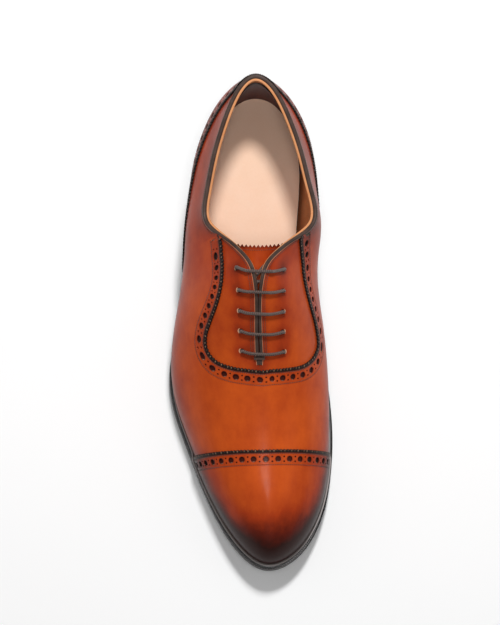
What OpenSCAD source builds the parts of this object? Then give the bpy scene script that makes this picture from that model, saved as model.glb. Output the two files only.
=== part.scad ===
// Leather oxford shoe, right foot, closed lacing, straight toe cap.
// Toe towards -Y, heel towards +Y, inner side of the foot towards +X, up is +Z.

/* [Sole] */
// length of the outsole
sole_length = 299; // [250:1:330]
// width across the ball of the outsole
sole_width = 101.6; // [88:0.2:114]
// height of the heel seat at the back
heel_height = 27; // [20:0.5:35]
// lift of the toe above the ground
toe_spring = 12; // [6:0.5:18]
// thickness of the outsole
outsole_t = 5; // [3:0.5:8]
// thickness of the welt
welt_t = 3; // [2:0.5:4]
// thickness of the insole board
insole_t = 2.4; // [2:0.2:4]
// thickness of the sock
sock_t = 1; // [0.6:0.1:2]

/* [Upper] */
// height of the upper, as a factor
upper_k = 1; // [0.9:0.01:1.1]
// thickness of the outer leather
leather_t = 1.3; // [1:0.1:1.8]
// thickness of the layer between leather and lining
inner_t = 1.2; // [0.8:0.1:1.6]
// thickness of the lining
lining_t = 1.1; // [0.8:0.1:1.4]
// thickness of the toe cap and the heel counter laid on top
overlay_t = 1.2; // [0.8:0.1:1.6]
// height of the rolled binding above the edge
binding_h = 0.8; // [0.5:0.1:1]

/* [Lace and tongue] */
// radius of the lace
lace_r = 0.95; // [0.7:0.05:1.1]
// radius of the lace holes
hole_r = 1.5; // [1.3:0.1:1.8]
// thickness of the tongue
tongue_t = 2; // [1.4:0.1:2.4]
// half width of the tongue
tongue_w = 19; // [15:0.5:20]

/* [Show] */
// which sub-part to show

/* [Hidden] */
kx = sole_width/101.6;
ky = sole_length/299;
dx = 3.45*kx;
dy = 3.8*ky;
L1 = -leather_t;
L2 = L1-inner_t;
L3 = L2-lining_t;
cream = [0.93, 0.8, 0.68]; tan = [0.72, 0.3, 0.13]; dark = [0.2, 0.15, 0.13]; black = [0.08, 0.08, 0.09];

// ---- station tables, 17 per side from heel back (0) to toe tip (16)
Y = [143.5, 139.5, 129, 112, 92, 68, 42, 16, -8, -30, -53, -74, -93, -111, -128, -143.5, -152];
XL = [0, 12.5, 22.5, 29.5, 32.8, 33.5, 34.5, 39.5, 47, 52.2, 49, 40.8, 34, 26, 16.8, 5, -7.9];
XM = [0, 12.5, 22, 28.8, 31.8, 30, 28, 30.5, 36.5, 41.5, 44.3, 45.3, 43.9, 41, 34.5, 24, 7.9];
TYL = [140.5, 136, 124.5, 108, 90, 71, 49, 36, 14.5, -12, -38, -70, -96, -103, -106, -107.5, -108];
TXL = [0, 8.2, 15.2, 21.3, 26.8, 30.2, 34.5, 12.5, -2.5, -1.2, -2.6, -4, -5.2, -6, -6.6, -7, -7.1];
TYM = [140.5, 136, 125.5, 110, 92, 73.9, 49, 34.5, 16, -12, -38, -70, -96, -103, -106, -107.5, -108];
TXM = [0, 8.6, 16, 22.8, 29.2, 33.2, 41, 16.5, 1, 1.2, 2.6, 4, 5.2, 6, 6.6, 7, 7.1];
TH = [57, 57, 55.5, 53, 50.5, 49, 51.5, 71, 84, 72, 59, 46, 39, 36, 34.5, 33, 33];
B1L = [8, 7.5, 8, 10, 14, 17, 20, 23, 18, 9, 4.5, 3, 2, 1.5, 1.2, 0.8, 0.8];
B1M = [8, 7.5, 8, 9, 10, 13, 17, 22, 21, 14, 8, 4, 2.5, 1.8, 1.2, 0.8, 0.8];
B2 = [2, 2, 2, 2.5, 3, 4, 5, 5, 5, 5, 5, 5, 5, 5, 5, 5, 5];
H1 = [20, 20, 20, 20, 20, 20, 22, 24, 26, 25, 23, 21, 18, 16, 14, 12, 11.5];
W2 = [0.5, 0.5, 0.5, 0.5, 0.5, 0.5, 0.5, 0.45, 0.48, 0.52, 0.58, 0.6, 0.62, 0.62, 0.62, 0.62, 0.62];
M = [0, 0, 0, 0, 0, 0, 0.15, 0.75, 1, 1, 1, 1, 1, 1, 1, 1, 1];
EXL = [2.5, 2.3, 2.2, 2.2, 2.4, 2.6, 3, 3.2, 3.2, 3, 3.1, 3.1, 3.1, 3.5, 4.2, 4.7, 5];
EXM = [2.5, 2.3, 2.2, 2.2, 2, 1.6, 1.6, 2, 2.5, 2.6, 2.3, 2, 2, 2.4, 3.4, 4.4, 5];
// height of the upper above the feather line along the centre ridge, every 16 mm from above the throat
RH = [107, 105, 101.5, 96, 89.5, 81.5, 73, 64.2, 56.8, 50.6, 45.8, 41.6, 37.8, 34.2, 31, 28];
// how far up each rib the facing seam runs, every quarter station from 6.5 to 10
VUL = [1, 0.905, 0.83, 0.79, 0.76, 0.74, 0.72, 0.693, 0.657, 0.626, 0.623, 0.654, 0.719, 0.835, 1];
VUM = [1, 0.79, 0.665, 0.602, 0.555, 0.516, 0.478, 0.44, 0.415, 0.413, 0.456, 0.526, 0.635, 0.806, 1];
// lace holes: station and height on the rib
HL = [[7.56, 0.874], [8.12, 0.862], [8.59, 0.87], [9.03, 0.882], [9.46, 0.89]];
HM = [[24.5, 0.804], [23.98, 0.77], [23.51, 0.768], [23.07, 0.778], [22.64, 0.784]];

// ---- closed loop of 32 stations and its smooth reading
function loop(l, m, s = 1) = concat([for (v = l) s*v], [for (i = [15:-1:1]) m[i]]);
function w4(t, a, b, c, d) = (a*pow(1-t, 3)+b*(3*pow(t, 3)-6*t*t+4)+c*(-3*pow(t, 3)+3*t*t+3*t+1)+d*pow(t, 3))/6;
function bs(T, a) = let (i = floor(a), t = a-i) w4(t, T[(i+31)%32], T[(i+32)%32], T[(i+33)%32], T[(i+34)%32]);
function sm(a, b, x) = let (t = min(1, max(0, (x-a)/(b-a)))) t*t*(3-2*t);
FXt = loop(XL, XM, -1); FYt = loop(Y, Y);
TXt = loop(TXL, TXM, -1); TYt = loop(TYL, TYM); THt = loop(TH, TH);
B1t = loop(B1L, B1M); B2t = loop(B2, B2); H1t = loop(H1, H1); W2t = loop(W2, W2); Mt = loop(M, M); EXt = loop(EXL, EXM);
function uo(a) = a > 16 ? 32-a : abs(a);
function sd(a) = (a < 0 || a > 16) ? 1 : -1;
function zb(y) = let (t = (144.8*ky-y)/sole_length) heel_height*(1-sm(0.08, 0.62, t))+toe_spring*pow(max(0, (t-0.66)/0.34), 2);
function zf(y) = zb(y)+outsole_t+welt_t;
function rh(y) = let (q = min(13.99, max(1, (84-y/ky)/16)), i = floor(q), t = q-i) upper_k*w4(t, RH[i-1], RH[i], RH[i+1], RH[i+2]);
function zr(y) = zf(y)+rh(y);
function fxy(a) = [kx*bs(FXt, a), ky*bs(FYt, a)];
function n2(a) = let (d = fxy(a+0.02)-fxy(a-0.02)) [d[1], -d[0]]/norm(d);
function topp(a) = let (u = uo(a), y = ky*bs(TYt, a), k = sm(7, 9, u), g = (0.35+binding_h)*(1-sm(9.6, 10, u))*sm(7.4, 8.2, u))
  [kx*bs(TXt, a)+sd(a)*g, y, (1-k)*(zf(y)+upper_k*bs(THt, a))+k*zr(y)];
function sy(y) = zr(y+0.5)-zr(y-0.5);
// rib: four control points from the feather line to the top
function ctl(a) = let (f = fxy(a), F = [f[0], f[1], zf(f[1])], T = topp(a), q = n2(a), n = [q[0], q[1], 0], u = uo(a), m = bs(Mt, a),
    A = n*bs(B2t, a)-[0, 0, 18], w = bs(W2t, a), ex = (F[0]-T[0])*w, ey = (F[1]-T[1])*w,
    D = [ex, ey, sy(T[1])*ey-0.12*(sm(6, 8, u)-sm(9, 10.4, u))*abs(ex)])
  [F, F+n*bs(B1t, a)+[0, 0, upper_k*bs(H1t, a)], T+(1-m)*A+m*D, T];
function bz(c, v) = let (w = 1-v) w*w*w*c[0]+3*w*w*v*c[1]+3*w*v*v*c[2]+v*v*v*c[3];
function bd(c, v) = let (w = 1-v) 3*w*w*(c[1]-c[0])+6*w*v*(c[2]-c[1])+3*v*v*(c[3]-c[2]);
function unit(v) = v/norm(v);
// a column holds the rib and its two neighbours, for normals
function column(a) = [a, ctl(a), ctl(a-0.02), ctl(a+0.02), n2(a)];
function nv(C, v) = (v > 0.999 && uo(C[0]) >= 10) ? unit([0, -sy(C[1][3][1]), 1]) : let (w = min(v, 0.995)) unit(cross(bz(C[3], w)-bz(C[2], w), bd(C[1], w)));
function ff(C, o) = let (p = [C[1][0][0]+C[4][0]*o, C[1][0][1]+C[4][1]*o]) [p[0]+dx, p[1]+dy, zf(p[1])];
function gp(C, v, o) = v < 0.001 ? ff(C, o) : bz(C[1], v)+nv(C, v)*o+[dx, dy, 0];
function S(a, v, o) = gp(column(a), v, o);
function vl(a) = let (u = uo(a), T = a > 16 ? VUM : VUL, q = (u-6.5)/0.25, i = min(13, max(0, floor(q))), t = q-i)
  (u <= 6.5 || u >= 10) ? 1 : min(1, let (p = T[max(0, i-1)], b = T[i], c = T[i+1], d = T[min(14, i+2)]) b+0.5*t*(c-p+t*(2*p-5*b+4*c-d+t*(3*(b-c)+d-p))));

// ---- the shared lattice
half = concat([for (i = [0:18]) i/2], [9.25, 9.5, 9.75], [for (i = [20:32]) i/2]);
CL = concat(half, [for (i = [len(half)-2:-1:1]) 32-half[i]]);
NC = len(CL);
Jn = 8;
Jm = 3;
cols = [for (a = CL) column(a)];
rowv = [for (a = CL) let (s = vl(a)) [for (j = [0:Jn+Jm]) j <= Jn ? s*j/Jn : s+(1-s)*(j-Jn)/Jm]];
function mida(i) = (CL[i]+(i+1 < NC ? CL[i+1] : 32))/2;
function infac(i, j) = let (u = uo(mida(i))) j >= Jn-1 && u > 6.5 && u < 10;
function inc(k, i, j) = let (m = mida((i+NC)%NC), u = uo(m), f = infac((i+NC)%NC, j)) (j < 0 || j >= Jn+Jm) ? false
  : k == "vamp" ? j < Jn
  : k == "facl" ? f && m < 16 : k == "facm" ? f && m > 16
  : (f || j >= Jn) ? false
  : k == "cap" ? u > 11.5 : k == "inter" ? u > 4.5 && u < 12 : k == "stiff" ? u < 4.5 : k == "puff" ? u > 12
  : k == "quarter" ? u < 8 : k == "forepart" ? u > 8 : k == "grip" ? u < 4 && j > 0 && j < 7 : false;
// a vertex: columns past the toe share the ridge with their mirror column
function canon(i, j) = let (k = (i+NC)%NC) (j >= Jn && CL[k] > 16 && uo(CL[k]) >= 10) ? NC-k : k;
function same(P, t) = norm(P[t[0]]-P[t[1]]) < 1e-4 || norm(P[t[1]]-P[t[2]]) < 1e-4 || norm(P[t[0]]-P[t[2]]) < 1e-4;
module skin(k, o1, o0) {
  R = Jn+Jm+1;
  P = [for (o = [o1, o0]) for (i = [0:NC-1]) for (j = [0:R-1]) gp(cols[canon(i, j)], rowv[canon(i, j)][j], o)];
  function id(l, i, j) = l*NC*R+canon(i, j)*R+j;
  cells = [for (i = [0:NC-1]) for (j = [0:R-2]) if (inc(k, i, j)) [i, j]];
  ridge = [for (c = cells) let (u = uo(mida(c[0]))) c[1] == Jn-1 && u > 10];
  tri = [for (n = [0:len(cells)-1]) let (i = cells[n][0], j = cells[n][1], a = [id(0, i, j), id(0, i+1, j), id(0, i+1, j+1), id(0, i, j+1)],
      b = [id(1, i, j), id(1, i+1, j), id(1, i+1, j+1), id(1, i, j+1)])
    each concat([[a[0], a[2], a[1]], [a[0], a[3], a[2]], [b[0], b[1], b[2]], [b[0], b[2], b[3]]],
      inc(k, i, j-1) ? [] : [[a[0], a[1], b[1]], [a[0], b[1], b[0]]],
      (inc(k, i, j+1) || ridge[n]) ? [] : [[a[2], a[3], b[3]], [a[2], b[3], b[2]]],
      inc(k, i-1, j) ? [] : [[a[3], a[0], b[0]], [a[3], b[0], b[3]]],
      inc(k, i+1, j) ? [] : [[a[1], a[2], b[2]], [a[1], b[2], b[1]]])];
  mesh(P, [for (t = tri) if (!same(P, t)) t]);
}
module mesh(P, F) {
  polyhedron(points = P, faces = F, convexity = 8);
}
// block between two matching grids, A on top of B, closed all round
module block(A, B, e0 = true, e1 = true) {
  n = len(A); m = len(A[0]);
  P = concat([for (r = A) each r], [for (r = B) each r]);
  function q(l, i, j) = l*n*m+i*m+j;
  F = concat([for (i = [0:n-2]) for (j = [0:m-2]) each [[q(0, i, j), q(0, i+1, j+1), q(0, i+1, j)], [q(0, i, j), q(0, i, j+1), q(0, i+1, j+1)],
        [q(1, i, j), q(1, i+1, j), q(1, i+1, j+1)], [q(1, i, j), q(1, i+1, j+1), q(1, i, j+1)]]],
    [for (i = [0:n-2]) each [[q(0, i, 0), q(0, i+1, 0), q(1, i+1, 0)], [q(0, i, 0), q(1, i+1, 0), q(1, i, 0)],
        [q(0, i+1, m-1), q(0, i, m-1), q(1, i, m-1)], [q(0, i+1, m-1), q(1, i, m-1), q(1, i+1, m-1)]]],
    e0 ? [for (j = [0:m-2]) each [[q(0, 0, j+1), q(0, 0, j), q(1, 0, j)], [q(0, 0, j+1), q(1, 0, j), q(1, 0, j+1)]]] : [],
    e1 ? [for (j = [0:m-2]) each [[q(0, n-1, j), q(0, n-1, j+1), q(1, n-1, j+1)], [q(0, n-1, j), q(1, n-1, j+1), q(1, n-1, j)]]] : []);
  mesh(P, [for (t = F) if (!same(P, t)) t]);
}

// ---- sole loops: 0 outer edge, 1 feather, 2 inside of the lining, 3 inner loop
function ep(i, r) = let (C = cols[(i+NC)%NC], a = C[0], o = [bs(EXt, a), 0, L3-0.2, -7][r]) [C[1][0][0]+C[4][0]*o, C[1][0][1]+C[4][1]*o];
function at(p, z) = [p[0]+dx, p[1]+dy, zb(p[1])+z];
HB = 9;  // column of the heel breast
ring_i = [for (i = [HB:NC-HB]) i];
module ringpart(I, z0, z1) block([for (i = I) [at(ep(i, 3), z1), at(ep(i, 1), z1), at(ep(i, 0), z1)]], [for (i = I) [at(ep(i, 3), z0), at(ep(i, 1), z0), at(ep(i, 0), z0)]]);
// plate across the foot from station index i0 to i1, inside loop r
function row5(i, r, z) = let (a = ep(i, r), b = ep(NC-i, r)) [for (k = [0:4]) at(a+(b-a)*k/4, z)];
module plate(i0, i1, r, z0, z1) block([for (i = [i1:-1:i0]) row5(i, r, z1)], [for (i = [i1:-1:i0]) row5(i, r, z0)]);
function full(i, z) = let (a = ep(i, 3), b = ep(NC-i, 3)) concat([at(ep(i, 0), z), at(ep(i, 1), z)], [for (k = [0:4]) at(a+(b-a)*k/4, z)], [at(ep(NC-i, 1), z), at(ep(NC-i, 0), z)]);
IT = len(half)-1;  // column of the toe tip

// ---- upper
module vamp() color(tan) skin("vamp", 0, L1);
module facing_lateral() color(tan) difference() { skin("facl", L1, L2); lace_holes(HL); }
module facing_medial() color(tan) difference() { skin("facm", L1, L2); lace_holes(HM); }
module facing_lining_lateral() color(cream) difference() { skin("facl", L2, L3); lace_holes(HL); }
module facing_lining_medial() color(cream) difference() { skin("facm", L2, L3); lace_holes(HM); }
module toe_cap() color(tan) skin("cap", overlay_t, 0);
module interlining() color(cream) skin("inter", L1, L2);
module heel_stiffener() color(cream) skin("stiff", L1, L2);
module toe_puff() color(cream) skin("puff", L1, L2);
module quarter_lining() color(cream) skin("quarter", L2, L3);
module vamp_lining() color(cream) skin("forepart", L2, L3);
module heel_grip() color([0.45, 0.2, 0.12]) skin("grip", L3, L3-0.8);
// turns +Z onto direction d
module aim(p, d) translate(p) multmatrix(let (z = unit(d), x = unit(cross([0, 1, 0], z)), y = cross(z, x)) [[x[0], y[0], z[0], 0], [x[1], y[1], z[1], 0], [x[2], y[2], z[2], 0]]) children();
function hn(h) = let (C = column(h[0])) nv(C, h[1]);
module lace_holes(H) for (h = H) aim(S(h[0], h[1], L3-2), hn(h)) cylinder(r = hole_r, h = -L3+4, $fn = 24);
module heel_counter() {
  nc = 12;
  jc = 16;
  K = concat([for (i = [nc:-1:1]) NC-i], [for (i = [0:nc]) i]);
  function clampa(i, v) = let (a = CL[i%NC], e = lookup(v, [[0, 7], [0.25, 6.4], [0.375, 5.5], [0.4375, 4.5], [0.5, 3.5], [0.5625, 2.7], [0.625, 2.2], [0.75, 1.7], [1, 1.2]])) a > 16 ? max(a, 32-e*0.96) : min(a, e);
  function edge(i, j, o) = let (v = j/jc) gp(column(clampa(i, v)), v, o);
  A = [for (i = K) [for (j = [0:jc]) edge(i, j, overlay_t)]];
  B = [for (i = K) [for (j = [0:jc]) edge(i, j, 0.2)]];
  color(tan) block([for (j = [0:jc]) [for (i = [0:len(K)-1]) A[i][j]]], [for (j = [0:jc]) [for (i = [0:len(K)-1]) B[i][j]]]);
}
module topline_binding() {
  I = concat([for (i = [20:-1:1]) NC-i], [for (i = [0:20]) i]);
  // section around the raw edge: outside, over the top, inside
  function sec(i) = let (C = cols[i%NC], n = nv(C, 1), t = unit(bd(C[1], 0.995)), T = C[1][3]+[dx, dy, 0], o = L1*sm(6.2, 6.9, uo(C[0])))
    [T+n*o, T+n*o+t*0.55*binding_h, T+n*(o-0.5)+t*binding_h, T+n*(L3+0.5)+t*binding_h, T+n*L3+t*0.55*binding_h, T+n*L3];
  Q = [for (i = I) sec(i)];
  P = [for (s = Q) each s];
  n = len(I);
  F = concat([for (i = [0:n-2]) for (j = [0:5]) let (k = (j+1)%6) each [[i*6+j, i*6+k, i*6+6+k], [i*6+j, i*6+6+k, i*6+6+j]]],
    [for (j = [1:4]) each [[0, j+1, j], [(n-1)*6, (n-1)*6+j, (n-1)*6+j+1]]]);
  color(dark) mesh(P, F);
}
// tongue: height above the feather line along its centre, how strongly it arches, and its centre line
TZ = [[-37, 53.95], [-34, 55.75], [-30, 56.7], [-26, 57.9], [-21, 60.1], [-16, 62.6], [-11, 65.2], [-6, 67.8], [-1, 70.2], [4, 72.3], [9, 73.5], [13, 74], [17, 74.3], [21, 74.8], [25, 75.3], [29, 75.8], [33, 76.6], [37, 77.7]];
TK = [[-37, 0.0205], [-34, 0.019], [-26, 0.0198], [-16, 0.023], [-6, 0.028], [4, 0.034], [9, 0.039], [13, 0.042], [17, 0.045], [21, 0.049], [25, 0.058], [29, 0.065], [33, 0.067], [37, 0.064]];
TC = [[-37, 0.6], [-16, -0.2], [4, -0.8], [13, -0.3], [21, 0.5], [33, 1.5]];
function tp(y, s, o) = let (x = s*tongue_w*(0.84+0.12*sm(-36, 0, y)-0.06*sm(8, 30, y)), w = y+5*s*s*sm(13, 32, y))
  [kx*(x+lookup(w, TC))+dx, ky*w+dy, zf(ky*w)+upper_k*(lookup(w, TZ)-lookup(w, TK)*x*x)-o];
module tongue() {
  ys = [-37, -34, -30, -26, -21, -16, -11, -6, -1, 4, 9, 13, 17, 21, 25, 29, 32];
  ss = [-1, -0.78, -0.56, -0.34, -0.12, 0.12, 0.34, 0.56, 0.78, 1];
  color(tan) block([for (s = ss) [for (y = ys) tp(y, s, 0)]], [for (s = ss) [for (y = ys) tp(y, s, tongue_t)]]);
}

// ---- lace: one cord, its real way through all ten holes
bar_o = L1+lace_r+0.35;
in_o = L3-lace_r-0.2;
function hp(h, o, s = 0) = S(h[0], h[1]+s, o);
function bar(i) = let (a = hp(HM[i], bar_o, 0.012), b = hp(HL[i], bar_o, 0.008), m = (a+b)/2, lift = max(0, S(HL[i][0], 0.995, bar_o)[2]-m[2]+1.2))
  [for (k = [0:8]) let (t = k/8, w = 4*t*(1-t)) a+(b-a)*t+[0, -2.6*w, lift*w]];
function under(i) = let (l = HL[i], m = HM[i-1]) [S(l[0]-0.1, l[1]+0.035, in_o-0.1), S(l[0]-0.16, 0.975, in_o-0.2), S((32-m[0])*0.7+l[0]*0.3, 0.99, in_o-0.3),
  S(m[0]-0.12, 0.965, in_o-0.2), S(m[0]-0.06, m[1]+0.06, in_o-0.1)];
function through(h, up) = let (p = [hp(h, in_o), hp(h, (L3+L1)/2), hp(h, bar_o-0.5)]) up ? p : [p[2], p[1], p[0]];
tail_m = [for (k = [0:5]) let (t = k/5) S(23.9+t*0.95, 0.62+0.05*t, in_o-0.15)];
tail_l = [for (k = [0:4]) let (t = k/4) S(7.75+t*1.1, 0.8-0.08*t, in_o-0.15)];
lace_path = concat([for (k = [5:-1:0]) tail_m[k]], [S(23.3, 0.66, in_o-0.1), S(22.9, 0.72, in_o-0.1)],
  through(HM[4], true), bar(4), through(HL[4], false), under(4),
  through(HM[3], true), bar(3), through(HL[3], false), under(3),
  through(HM[2], true), bar(2), through(HL[2], false), under(2),
  through(HM[1], true), bar(1), through(HL[1], false), under(1),
  through(HM[0], true), bar(0), through(HL[0], false), tail_l);
module tube(W, r, k = 8) {
  n = len(W);
  T = [for (i = [0:n-1]) unit(i == 0 ? W[1]-W[0] : i == n-1 ? W[n-1]-W[n-2] : unit(W[i+1]-W[i])+unit(W[i]-W[i-1]))];
  // rotation carried along the path, so that the rings never twist
  function walk(i, u, acc) = i == n ? acc : let (v = u-T[i]*(u*T[i]), w = unit(v)) walk(i+1, w, concat(acc, [w]));
  U = walk(0, cross(T[0], [0.3, 0.2, 1]), []);
  P = [for (i = [0:n-1]) let (u = U[i], v = cross(T[i], u)) for (j = [0:k-1]) W[i]+r*(cos(360*j/k)*u+sin(360*j/k)*v)];
  F = concat([for (i = [0:n-2]) for (j = [0:k-1]) let (m = (j+1)%k) each [[i*k+j, i*k+k+j, i*k+k+m], [i*k+j, i*k+k+m, i*k+m]]],
    [for (j = [1:k-2]) each [[0, j, j+1], [(n-1)*k, (n-1)*k+j+1, (n-1)*k+j]]]);
  mesh(P, F);
}
module lace() color(dark) tube(lace_path, lace_r);
module aglet(p, q) aim(p, p-q) cylinder(r = lace_r, h = 14, $fn = 16);
module aglet_1() color(dark) aglet(lace_path[0], lace_path[1]);
module aglet_2() color(dark) aglet(lace_path[len(lace_path)-1], lace_path[len(lace_path)-2]);
module bar_tack() color(dark) { p = S(9.72, 1, L1); q = S(22.28, 1, L1); c = (p+q)/2; translate([c[0]-4.5, c[1]-1.1, c[2]+0.12]) cube([9, 2.2, 0.9]); }
module hidden_eyelets() color([0.72, 0.68, 0.6]) for (h = concat(HL, HM)) aim(S(h[0], h[1], L3-0.85), hn(h)) rotate_extrude($fn = 24) translate([hole_r, 0]) square([1.1, 0.45]);

// ---- inside and sole
zi = outsole_t+welt_t;
module insole() color(cream) plate(0, IT, 2, zi, zi+insole_t);
module sock() color(cream) plate(0, IT, 2, zi+insole_t, zi+insole_t+sock_t);
module cork_filler() color([0.6, 0.42, 0.25]) plate(16, IT, 3, outsole_t, zi-0.06);
module shank_board() color([0.5, 0.38, 0.26]) plate(0, 16, 3, outsole_t, zi-1.3);
module shank() { function r(i, z) = let (a = ep(i, 3), b = ep(NC-i, 3), c = (a+b)/2, d = (b-a)/norm(b-a)) [at(c-d*6, z), at(c+d*6, z)];
  color([0.6, 0.62, 0.65]) block([for (i = [15:-1:5]) r(i, zi-0.1)], [for (i = [15:-1:5]) r(i, zi-1.3)]); }
module welt() color(black) ringpart(ring_i, outsole_t, zi);
module heel_rand() color(dark) ringpart([for (i = [NC-HB:NC+HB]) i], outsole_t, zi);
module outsole() {
  R = [for (i = [IT:-1:0]) i];
  color(black) block([for (i = R) full(i, outsole_t)], [for (i = R) full(i, 0)], false, false);
}
// heel row i at height z: the outline tapers a little towards the ground
function hrow(i, z, sit) = let (k = 1-0.06*max(0, heel_height-z)/heel_height, c = [-0.5*kx, 112*ky], a = ep(i, 0), b = ep(NC-i, 0))
  [for (t = [0:6]) let (p = c+(a+(b-a)*t/6-c)*k) [p[0]+dx, p[1]+dy, sit ? zb(p[1])-0.04 : z]];
module lift(z0, z1, i0 = 0, i1 = HB, sit = false) block([for (i = [i1:-1:i0]) hrow(i, sit ? heel_height : z1, sit)], [for (i = [i1:-1:i0]) hrow(i, z0, false)]);
module heel_lift_1() color(black) lift(16, heel_height, sit = true);
module heel_lift_2() color(black) lift(11, 16);
module heel_lift_3() color(black) lift(6, 11);
module top_piece() color(black) lift(0, 6, i0 = 5);
module rubber_corner() color([0.12, 0.12, 0.12]) lift(0, 6, i1 = 5);
module heel_nails() color([0.7, 0.6, 0.35]) for (k = [0:6]) let (t = (k-3)*22) translate([dx+22*sin(t), dy+(84+26*cos(t)*0.9)*ky, 0]) cylinder(r = 0.9, h = 5, $fn = 12);

vamp();
facing_lateral();
facing_medial();
toe_cap();
heel_counter();
topline_binding();
interlining();
heel_stiffener();
toe_puff();
quarter_lining();
vamp_lining();
facing_lining_lateral();
facing_lining_medial();
heel_grip();
tongue();
lace();
aglet_1();
aglet_2();
bar_tack();
hidden_eyelets();
insole();
sock();
cork_filler();
shank_board();
shank();
welt();
heel_rand();
outsole();
heel_lift_1();
heel_lift_2();
heel_lift_3();
top_piece();
rubber_corner();
heel_nails();
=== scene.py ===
# %% [markdown]
# # A leather oxford shoe, made ready for the shelf
# The frame comes first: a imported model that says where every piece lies. Each cell below then
# dresses one piece of the shoe, in the order a shoemaker would meet them: upper, edges, lace, sole.

# %% Load the frame
import math
import bpy
import numpy as np
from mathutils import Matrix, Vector


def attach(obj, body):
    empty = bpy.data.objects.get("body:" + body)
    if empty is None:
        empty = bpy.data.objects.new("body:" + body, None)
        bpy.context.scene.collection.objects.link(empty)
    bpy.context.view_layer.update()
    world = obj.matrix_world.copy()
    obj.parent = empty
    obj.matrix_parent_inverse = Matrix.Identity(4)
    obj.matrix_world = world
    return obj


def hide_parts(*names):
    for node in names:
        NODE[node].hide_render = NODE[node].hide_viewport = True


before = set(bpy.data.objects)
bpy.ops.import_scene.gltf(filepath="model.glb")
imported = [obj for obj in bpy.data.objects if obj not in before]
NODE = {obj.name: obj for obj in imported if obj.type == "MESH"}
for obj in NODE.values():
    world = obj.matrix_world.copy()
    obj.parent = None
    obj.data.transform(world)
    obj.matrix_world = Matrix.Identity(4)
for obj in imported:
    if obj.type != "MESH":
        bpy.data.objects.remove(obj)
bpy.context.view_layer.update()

# %% [markdown]
# ## Camera, floor and light
# A shoe shown from above is best looked at through a long lens, because a short one would make the
# heel's top rim look too big beside the sole. A large soft light stands behind the heel, so that
# the laces throw short shadows towards the toe, and a small soft one hangs almost overhead to draw
# the highlight on the toe cap.

# %% Camera
lens = bpy.data.cameras.new("camera")
lens.lens, lens.sensor_width, lens.sensor_fit = 140, 36, "AUTO"
camera = bpy.data.objects.new("camera", lens)
bpy.context.scene.collection.objects.link(camera)
aim = Vector((0, 0.0071, 0.0356))
rise = math.radians(80)
camera.location = aim + 1.5 * Vector((0, -math.cos(rise), math.sin(rise)))
camera.rotation_euler = (aim - camera.location).to_track_quat("-Z", "Y").to_euler()
bpy.context.scene.camera = camera
print("camera at", [round(c, 3) for c in camera.location])


# %% Lights and sky
def soft_light(name, azimuth, height, distance, size, watts, tint=(1, 1, 1)):
    """A square area light that looks at the shoe from a compass angle and a height in degrees."""
    lamp = bpy.data.lights.new(name, "AREA")
    lamp.shape, lamp.size, lamp.energy, lamp.color = "DISK", size, watts, tint
    at = bpy.data.objects.new(name, lamp)
    h, r = math.radians(height), math.radians(azimuth)
    middle = Vector((0, 0, 0.04))
    at.location = Vector((math.sin(r) * math.cos(h), math.cos(r) * math.cos(h), math.sin(h))) * distance + middle
    at.rotation_euler = (middle - at.location).to_track_quat("-Z", "Y").to_euler()
    bpy.context.scene.collection.objects.link(at)


soft_light("key_behind_heel", 8, 60, 1.6, 0.26, 20.5)
soft_light("soft_overhead", 172, 79, 1.3, 0.34, 3.6)
soft_light("side_fill", -80, 40, 1.6, 0.9, 0.8)
soft_light("side_fill_inner", 95, 38, 1.6, 0.9, 0.8)
soft_light("toe_fill", 180, 30, 1.7, 0.9, 0.5)
world = bpy.data.worlds.new("studio")
bpy.context.scene.world = world
world.use_nodes = True
colour, strength = world.node_tree.nodes["Background"].inputs[:2]
colour.default_value, strength.default_value = (1, 1, 1, 1), 0.17
bpy.context.scene.view_settings.view_transform = "Standard"
print("five soft lights and a pale sky")

# %% [markdown]
# ## Shader sums in plain Python
# A socket is wrapped in a small class, so that `grain * 0.5 + 0.2` adds the Math nodes itself, and
# one method makes any other node.


# %% Socket arithmetic
class Wire:
    """A value inside a material: + - and * add Math nodes; in a sum the number may come first."""

    def __init__(self, coat, socket):
        self.coat, self.socket = coat, socket

    def sum(self, how, a, b=0.0):
        return self.coat.node("ShaderNodeMath", {"operation": how}, {0: a, 1: b})

    def __add__(self, o): return self.sum("ADD", self, o)
    __radd__ = __add__
    def __sub__(self, o): return self.sum("SUBTRACT", self, o)
    def __mul__(self, o): return self.sum("MULTIPLY", self, o)
    def wave(self): return self.sum("SINE", self)

    def above(self, low, high):
        """0 below low, 1 above high, smooth between."""
        sockets = {"Value": self, "From Min": low, "From Max": high}
        return self.coat.node("ShaderNodeMapRange", {"interpolation_type": "SMOOTHSTEP"}, sockets)


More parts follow.
